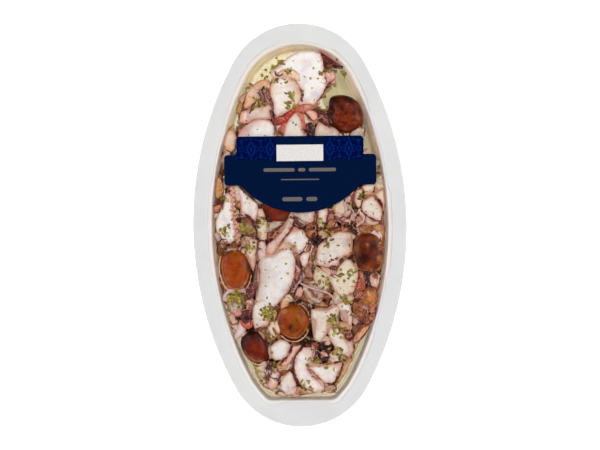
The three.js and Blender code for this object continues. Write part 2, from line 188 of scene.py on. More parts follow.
class Pile:
    """The mesh of one kind of thing: its points in millimetres and the marks that its material reads."""

    def __init__(self, *marks):
        self.points, self.faces, self.count = [], [], 0
        self.marks = {name: [] for name in marks}

    def add(self, points, faces, **marks):
        points = np.asarray(points, float)
        self.points.append(points)
        self.faces += [[i + self.count for i in face] for face in faces]
        self.count += len(points)
        for name, kept in self.marks.items():
            shape = (len(points), 3) if name == "tone" else (len(points),)
            kept.append(np.broadcast_to(np.asarray(marks[name], float), shape))

    def make(self, name, material, slot, sharp=None, replaces=()):
        mesh = bpy.data.meshes.new(name)
        points = np.concatenate(self.points) * MM
        mesh.from_pydata([tuple(p) for p in points], [], self.faces)
        for mark, values in self.marks.items():
            values, kind, field = np.concatenate(values), "FLOAT", "value"
            if mark == "tone":
                values, kind, field = np.column_stack([values, np.ones(len(values))]), "FLOAT_COLOR", "color"
            layer = mesh.attributes.new(mark, kind, "POINT")
            layer.data.foreach_set(field, values.astype(np.float32).ravel())
        mesh.validate()
        mesh.shade_smooth()
        if sharp:
            mesh.set_sharp_from_angle(angle=math.radians(sharp))
        return link(name, mesh, material, replaces)


def closed_faces(rows, sides):
    """Faces between rows of points that run clockwise, and round the two end points after the rows."""
    faces = []
    for start in range(0, (rows - 1) * sides, sides):
        for i in range(sides):
            a, b = start + i, start + (i + 1) % sides
            faces.append((a, a + sides, b + sides, b))
    low, high, last = rows * sides, rows * sides + 1, (rows - 1) * sides
    for i in range(sides):
        j = (i + 1) % sides
        faces += [(low, i, j), (high, last + j, last + i)]
    return faces


def second_below(obj, material, rows, sides, lower):
    """Gives the strips of the lower rows, and the low end, a second material."""
    obj.data.materials.append(material)
    which = np.zeros(len(obj.data.polygons), dtype=np.int32)
    which[: lower * sides] = 1
    which[(rows - 1) * sides :: 2] = 1
    obj.data.polygons.foreach_set("material_index", which)


def colour(r, g, b):
    """An sRGB colour from 0 to 255, as linear."""
    shares = (c / 255 for c in (r, g, b))
    return tuple(c / 12.92 if c <= 0.04045 else ((c + 0.055) / 1.055) ** 2.4 for c in shares)


def rough(x, y, z, size):
    """Smooth noise from -1 to 1 whose features are about size millimetres."""
    return noise.noise(Vector((x / size, y / size, z / size)))


# ---------------------------------------------------------------- materials


class Shader:
    """A node material, with short ways to make and join its nodes."""

    def __init__(self, name):
        self.material = bpy.data.materials.new(name)
        self.material.use_nodes = True
        self.tree = self.material.node_tree
        self.main = self.tree.nodes["Principled BSDF"]
        self.out = self.tree.nodes["Material Output"]
        self.place = self.node("ShaderNodeTexCoord").outputs["Object"]

    def node(self, kind, inputs=(), **settings):
        made = self.tree.nodes.new(kind)
        for key, value in settings.items():
            setattr(made, key, value)
        for key, value in dict(inputs).items():
            self.put(made.inputs[key], value)
        return made

    def put(self, socket, value):
        if hasattr(value, "links"):
            self.tree.links.new(value, socket)
        else:
            socket.default_value = value

    def noise(self, size, detail=3.0, roughness=0.55, shift=0.0):
        """Noise from 0 to 1 whose features are about size millimetres."""
        at = {"Vector": self.place, "Location": (shift, shift * 0.7, shift * 1.3)}
        moved = self.node("ShaderNodeMapping", at).outputs["Vector"]
        inputs = {"Vector": moved, "Scale": 1 / (size * MM), "Detail": detail, "Roughness": roughness}
        return self.node("ShaderNodeTexNoise", inputs).outputs["Fac"]

    def math(self, operation, a, b, c=0.0):
        return self.node("ShaderNodeMath", enumerate((a, b, c)), operation=operation).outputs[0]

    def times(self, a, b):
        return self.math("MULTIPLY", a, b)

    def ramp(self, value, low, high, start=0.0, end=1.0):
        inputs = {"Value": value, "From Min": low, "From Max": high, "To Min": start, "To Max": end}
        return self.node("ShaderNodeMapRange", inputs, interpolation_type="SMOOTHSTEP").outputs["Result"]

    def mark(self, name):
        made = self.node("ShaderNodeAttribute", attribute_name=name)
        return made.outputs["Color" if name == "tone" else "Fac"]

    def mix(self, share, a, b, blend="MIX"):
        colours = [value if hasattr(value, "links") else (*value, 1.0) for value in (a, b)]
        inputs = {"Factor": share, 6: colours[0], 7: colours[1]}
        return self.node("ShaderNodeMix", inputs, data_type="RGBA", blend_type=blend).outputs[2]

    def tinted(self, tone, r, g, b):
        return self.mix(1.0, tone, colour(r, g, b), "MULTIPLY")

    def bump(self, height, distance, strength, target=None):
        inputs = {"Strength": strength, "Distance": distance * MM, "Height": height}
        made = self.node("ShaderNodeBump", inputs).outputs["Normal"]
        self.put((target or self.main).inputs["Normal"], made)

    def set(self, **values):
        for name, value in values.items():
            self.put(self.main.inputs[name.replace("_", " ")], value)


def flesh_material():
    s = Shader("octopus_flesh")
    tone, edge, skin, blotch = s.mark("tone"), s.mark("edge"), s.mark("skin"), s.mark("blotch")
    wide, fine = s.noise(2.4, 2.0), s.noise(0.8, 4.0, 0.6, 3.0)
    patches, spots = s.noise(6.0, 2.0, 0.5, 9.0), s.noise(1.5, 4.0, 0.62, 15.0)
    warm, specks = s.noise(4.2, 3.0, 0.55, 31.0), s.noise(0.6, 1.0, 0.5, 21.0)
    wander = s.math("MULTIPLY_ADD", wide, 2.0, s.math("MULTIPLY_ADD", fine, 1.2, -1.6))
    near = s.math("ADD", edge, wander)  # distance to the edge, made uneven
    line = s.math("MAXIMUM", s.math("SUBTRACT", skin, 1.0), 0.0)
    band = s.times(line, 0.45)
    in_band = s.ramp(near, s.math("ADD", band, 0.25), s.math("SUBTRACT", band, 0.2))
    broken = s.ramp(s.noise(3.4, 2.0, 0.5, 44.0), 0.38, 0.54, 0.25, 1.0)
    whole = s.math("MAXIMUM", broken, s.ramp(skin, 1.8, 2.15))
    skin_share = s.times(s.times(in_band, s.ramp(line, 0.15, 0.9)), whole)
    tinge = s.times(s.math("MINIMUM", skin, 1.6), 0.4)
    halo = s.times(s.ramp(near, s.math("MULTIPLY_ADD", skin, 1.2, 0.5), -0.1), tinge)
    blots = s.times(s.ramp(spots, 0.5, 0.64), s.times(blotch, 0.85))
    lights = s.times(s.ramp(spots, 0.44, 0.34), s.times(blotch, 0.55))
    reds = s.mix(s.ramp(fine, 0.4, 0.62), colour(60, 12, 8), colour(156, 78, 64))
    reds = s.mix(s.times(s.ramp(patches, 0.5, 0.6), 0.6), reds, colour(96, 42, 76))
    base = tone
    for share, over in (
        # painted shade: random lilac-grey patches that stand in for the slices' uneven surface
        (s.times(s.ramp(patches, 0.48, 0.7), 0.7), s.tinted(tone, 238, 228, 236)),
        (s.times(s.ramp(warm, 0.5, 0.66), 0.5), s.tinted(tone, 251, 234, 210)),
        # partly the warmer translucent rim of the flesh, partly painted shade that rounds each slice towards
        # its edges
        (s.times(s.ramp(near, 2.4, -0.2), 0.75), s.tinted(tone, 224, 180, 150)),
        (blots, s.tinted(tone, 190, 132, 92)),
        (lights, colour(238, 222, 200)),
        (halo, s.tinted(tone, 236, 172, 164)),
        (skin_share, reds),
        (s.times(s.ramp(specks, 0.7, 0.76), 0.6), colour(150, 112, 56)),
    ):
        base = s.mix(share, base, over)
    s.set(Base_Color=base, Roughness=0.3, Subsurface_Weight=0.2, Subsurface_Scale=0.0012, Coat_Weight=0.3,
          Coat_Roughness=0.1, Specular_IOR_Level=0.25, Subsurface_Radius=(1.0, 0.6, 0.4))
    s.bump(s.math("ADD", fine, s.times(wide, 1.5)), 0.35, 0.7)
    return s.material


def olive_material():
    s = Shader("olive_skin")
    tone, edge, mottled = s.mark("tone"), s.mark("edge"), s.mark("mottle")
    wide, fine, mottle = s.noise(5.0, 3.0, 0.6), s.noise(1.0, 4.0, 0.6, 5.0), s.noise(2.2, 4.0, 0.68, 12.0)
    base = s.mix(s.ramp(wide, 0.4, 0.7), tone, s.tinted(tone, 206, 160, 130))
    base = s.mix(s.times(s.ramp(mottle, 0.5, 0.66), mottled), base, colour(52, 16, 8))
    base = s.mix(s.times(s.ramp(mottle, 0.44, 0.32), mottled), base, colour(176, 84, 32))
    base = s.mix(s.times(s.ramp(fine, 0.5, 0.8), 0.4), base, colour(60, 18, 8))
    # painted shade from the rim mark: darker towards the rim and under the olive
    base = s.mix(s.times(s.mark("rim"), s.ramp(wide, 0.2, 0.6)), base, s.tinted(base, 186, 150, 140))
    # painted highlight: the light ring where the film meets the olive, plus the lighter rim that some olives
    # are given
    base = s.mix(s.times(s.times(edge, s.ramp(fine, 0.66, 0.46)), 0.8), base, colour(222, 160, 116))
    s.set(Base_Color=base, Roughness=0.3, Specular_IOR_Level=0.16)
    s.bump(s.math("ADD", fine, wide), 0.35, 0.5)
    return s.material


def herb_material():
    s = Shader("herb_leaf")
    fine, tone = s.noise(0.6, 3.0), s.mark("tone")
    base = s.mix(s.ramp(fine, 0.35, 0.65), tone, s.tinted(tone, 206, 206, 170))
    s.set(Base_Color=base, Roughness=0.45, Specular_IOR_Level=0.3)
    s.bump(fine, 0.1, 0.5)
    return s.material


def tray_material(name, alpha):
    s = Shader(name)
    cloud, grain = s.noise(26.0, 2.0), s.noise(0.7, 2.0, 0.5, 4.0)
    base = s.mix(s.ramp(cloud, 0.3, 0.75), colour(236, 236, 235), colour(230, 230, 231))
    # painted light: where the mark is set, the plastic is lifted towards white against the shade of the step
    base = s.mix(s.mark("bright"), base, colour(254, 254, 254))
    base = s.mix(1.0, base, s.mark("tone"), "MULTIPLY")
    s.set(Base_Color=base, Roughness=0.34, Alpha=alpha, Coat_Weight=0.15, Coat_Roughness=0.2)
    s.bump(grain, 0.02, 0.3)
    return s.material


def clear_material(name, tint, gloss=0.0, roughness=0.5, straight=0.0, wave=None):
    """A clear sheet or liquid that tints what is behind it. Gloss shines more the flatter it is seen."""
    s = Shader(name)
    s.tree.nodes.remove(s.main)
    surface = s.node("ShaderNodeBsdfTransparent", {"Color": (*tint, 1.0)}).outputs[0]
    if gloss:
        shine = s.node("ShaderNodeBsdfGlossy", {"Roughness": roughness, "Color": (gloss, gloss, gloss, 1.0)})
        flat = s.math("POWER", s.node("ShaderNodeLayerWeight", {"Blend": 0.5}).outputs["Facing"], 5.0)
        if wave:
            s.bump(s.noise(wave, 1.0), 0.5, 0.4, shine)
        share = s.math("MULTIPLY_ADD", flat, 0.9, straight)
        surface = s.node("ShaderNodeMixShader", enumerate((share, surface, shine.outputs[0]))).outputs[0]
    s.put(s.out.inputs["Surface"], surface)
    return s.material


def print_material(name, r, g, b):
    s = Shader(name)
    rgb, grain = colour(r, g, b), s.noise(1.2, 3.0)
    base = s.mix(s.ramp(grain, 0.3, 0.8), rgb, tuple(0.86 * c for c in rgb))
    s.set(Base_Color=base, Roughness=0.5, Specular_IOR_Level=0.0)
    s.bump(grain, 0.015, 0.4)
    return s.material


# ---------------------------------------------------------------- tables


def groups(text):
    """Groups of numbers with commas, as lists."""
    return [[float(number) for number in group.split(",")] for group in text.split()]


def table(text):
    """Rows that each start with a word. A number that stands alone stays a number, and others are groups."""
    rows = []
    for item in text.split():
        if item[0].isalpha():
            rows.append([item])
        else:
            numbers = groups(item)[0]
            rows[-1].append(numbers if len(numbers) > 1 else numbers[0])
    return rows


def singles(text):
    """The groups of a table one by one, each after the word of its row."""
    return [(word, *group) for word, *row in table(text) for group in row]


def filled(points):
    """Gives a point that names no third number the one of the point before it."""
    for before, point in zip(points, points[1:]):
        if len(point) < 3:
            point.append(before[2])
    return points


# ---------------------------------------------------------------- the tray

SIDES = 420
FIRST_INNER = 34  # the row of the profile where the wall's inner face starts
# The painted reflections of the octopus and painted shade on the wall, with the tint of the oil: its height,
# then the colour at the sides, the round end and the cut end.
WALL_REFLECTIONS_AND_SHADE = groups("""
    0.6,250,226,198,255,246,220,176,146,106 0.9,206,152,124,196,152,90,206,176,138
    1.2,186,132,108,240,206,128,255,240,212 1.8,180,126,102,255,224,152,250,226,192
    3.8,178,126,102,190,146,76,158,126,94 5.8,200,148,126,240,204,124,232,200,168
    7.3,210,158,140,250,214,140,214,188,156 7.5,212,162,142,244,208,136,180,152,122
    7.7,236,190,172,214,180,118,160,132,106 8.6,196,150,134,160,124,74,146,120,98
    10.2,200,156,142,206,176,128,172,148,124 11.6,228,196,184,240,220,190,212,192,170
    12.5,242,224,216,250,238,224,250,240,234
""")


def on(kind, *places):
    """Rows of the tray's profile along one edge: kind, inset and height."""
    return [(kind, inset, z) for inset, z in places]


def make_tray():
    dx, dy = directions(SIDES)
    top, foot = FLANGE_TOP, FLANGE_TOP - LIP
    profile = [
        *on("well", (9.8, 0.8), (9.2, 0.5), (8.6, 0), (5, 0), (4.3, 0), (3.7, 0.15), (3.1, 0.6), (1.35, 6.7),
            (1.25, 6.95), (0.65, 7.15), (0.55, 7.4), (-0.55, 11.9), (-0.7, 12.15)),
        *on("ledge", (0.15, 12.2), (-0.25, 12.9), (-0.6, 13)),
        *on("flange", (0.9, 13), (0.6, 12.8), (0.6, foot), (0.1, foot), (0, foot + 0.15), (0, 13.15),
            (0.08, 13.4), (0.3, 13.56), (0.7, top), (3.5, top), (4.5, top)),
        *on("ledge", (-0.9, top), (-0.12, top), (0.1, 13.52), (0.25, 13.1), (0.45, 12.85), (0.7, LEDGE_Z)),
        *on("well", (-0.4, LEDGE_Z), (-0.12, 12.72), (0, 12.5), (0.25, 11.6), (0.6, 10.2), (1, 8.6),
            (1.17, 7.95), (1.3, 7.8), (1.8, 7.62), (1.92, 7.45), (2.4, 5.8), (3, 3.8), (3.6, 1.8), (3.8, 1.2),
            (4.2, 0.8), (4.8, 0.6), (7, 0.6), (9.1, 0.6), (9.5, 0.9), (9.8, FLOOR_Z), (12, FLOOR_Z),
            (20, FLOOR_Z)),
    ]
    turn = turn_of(dx, dy)
    tinted = np.interp(turn, [30, 75, 105, 150], [0, 1, 1, 0])[:, None]
    at_top = np.interp(turn, [0, 30, 41, 50, 62, 80, 134, 148, 158, 286, 324, 360],
                       [0.2, 0.25, 0, 0.5, 0.85, 1, 1, 0.6, 0.1, 0, 0, 0.2])[:, None]
    at_end = np.interp(turn, [200, 216, 232, 314, 332], [0, 0.8, 1, 1, 0])[:, None]
    shaded = np.interp(turn, [14, 24, 76, 92], [0, 1, 1, 0])[:, None]  # the floor by the upper olive
    heights = [row[0] for row in WALL_REFLECTIONS_AND_SHADE]
    walls = np.array([[colour(*row[k : k + 3]) for k in (1, 4, 7)] for row in WALL_REFLECTIONS_AND_SHADE])
    rows, tones, brights = [], [], []
    for index, (kind, inset, z) in enumerate(profile):
        rows.append(row_at(dx, dy, reach_to(kind, dx, dy, inset), z))
        # painted light on the step down to the ledge and on the ledge
        tone, bright = np.ones((SIDES, 3)), 1.0 if 29 <= index <= 33 else 0.0
        if index >= FIRST_INNER:
            # painted reflections of the octopus and painted shade on the wall, by height and round the tray
            side, round_end, cut_end = (
                [np.interp(z, heights, walls[:, which, k]) for k in range(3)] for which in range(3)
            )
            tone = (1 - at_top - at_end) * side + at_top * round_end + at_end * cut_end
            # mottled along the wall like the reflected octopus
            uneven = np.array([[rough(a, b, z, 5.0) + 0.6 * rough(a, b, z, 2.0)] for a, b, _ in rows[-1]])
            tone = tone * (1 + (0.5 - 0.3 * at_top) * uneven * (0 < inset < 4.5) * [0.8, 1.0, 1.1])
            if inset > 4.5:
                tone = tone * (1 - shaded) + shaded * colour(238, 228, 188)
        elif index in (29, 30, 31):  # the step from the flange down to the ledge, lifted with painted light against its shade
            tone = tone * colour(236, 236, 238)
        elif index in (32, 33):  # the ledge, also lifted with painted light
            tone = tinted * colour(242, 230, 214) + (1 - tinted) * colour(246, 236, 234)
            tone = (1 - at_end) * tone + at_end * colour(244, 241, 234)
        elif index == 28:  # the flange's edge towards the step, with a little painted light
            bright = 0.3
        tones.append(tone)
        brights.append(np.full(SIDES, bright))
    pile = Pile("tone", "bright")
    points = np.concatenate(rows + [[[0, 0, profile[0][2]], [0, 0, FLOOR_Z]]])
    pile.add(points, closed_faces(len(profile), SIDES),
             tone=np.concatenate(tones + [[[1, 1, 1], colour(214, 204, 158)]]),
             bright=np.concatenate(brights + [[0, 0]]))
    tray = pile.make("tray_shell", tray_material("tray_plastic", 0.8), "tray", sharp=50, replaces=["tray"])
    for name, alpha in (("tray_clear", 0.32), ("tray_wall", 0.84), ("tray_oily", 0.7), ("tray_shade", 0.7),
                        ("tray_deep", 0.5)):
        tray.data.materials.append(tray_material(name, alpha))
    which = np.zeros(len(tray.data.polygons), dtype=np.int32)
    which[FIRST_INNER * SIDES :] = 1
    strips = which[: (len(profile) - 1) * SIDES].reshape(-1, SIDES)
    strips[:12] = 1
    wall, floor = FIRST_INNER, FIRST_INNER + 12
    strips[wall:floor] = np.where(at_top[:, 0] > 0.45, 3, 2)
    strips[floor:, shaded[:, 0] > 0.5] = 4
    strips[wall + 7 : floor + 2, at_end[:, 0] > 0.5] = 5
    tray.data.polygons.foreach_set("material_index", which)


# ---------------------------------------------------------------- what lies in the tray

# The colour of each tone, and how blotched the flesh of that tone is.
TONES, BLOTCHED = {}, {}
for name, rgb, *share in table("""
    snow 255,250,246 0.05  white 244,239,235 0.12  pearl 237,226,215 0.2  shell 231,212,200 0.3  cream
    236,223,202 0.3  pink 238,216,204  peach 250,216,182  salmon 234,188,148 0.5  tan 201,160,110 0.75
    mauve 190,148,134 0.6  brown 118,76,40 1  grey 208,197,184 0.4  orange 222,142,62 0.9  red 200,76,62 1
    pale 224,210,182 0.55  dark 60,20,12 0.8  moss 134,102,50 1  black 34,10,6  lilac 226,208,212 0.2  coral
    218,122,98 0.9  maroon 108,40,34 0.8  rose 211,150,127 0.9  clay 165,106,61 0.9  plum 150,84,92  blush
    248,212,200  ivory 255,246,237 0.15  cameo 255,226,200  flesh 229,204,184  milk 243,235,229 0.15  ash
    184,156,130 0.8  straw 215,189,150 0.7  bone 229,212,190 0.35  wine 180,94,74 0.9
"""):
    TONES[name] = rgb
    BLOTCHED[name] = share[0] if share else 0.25
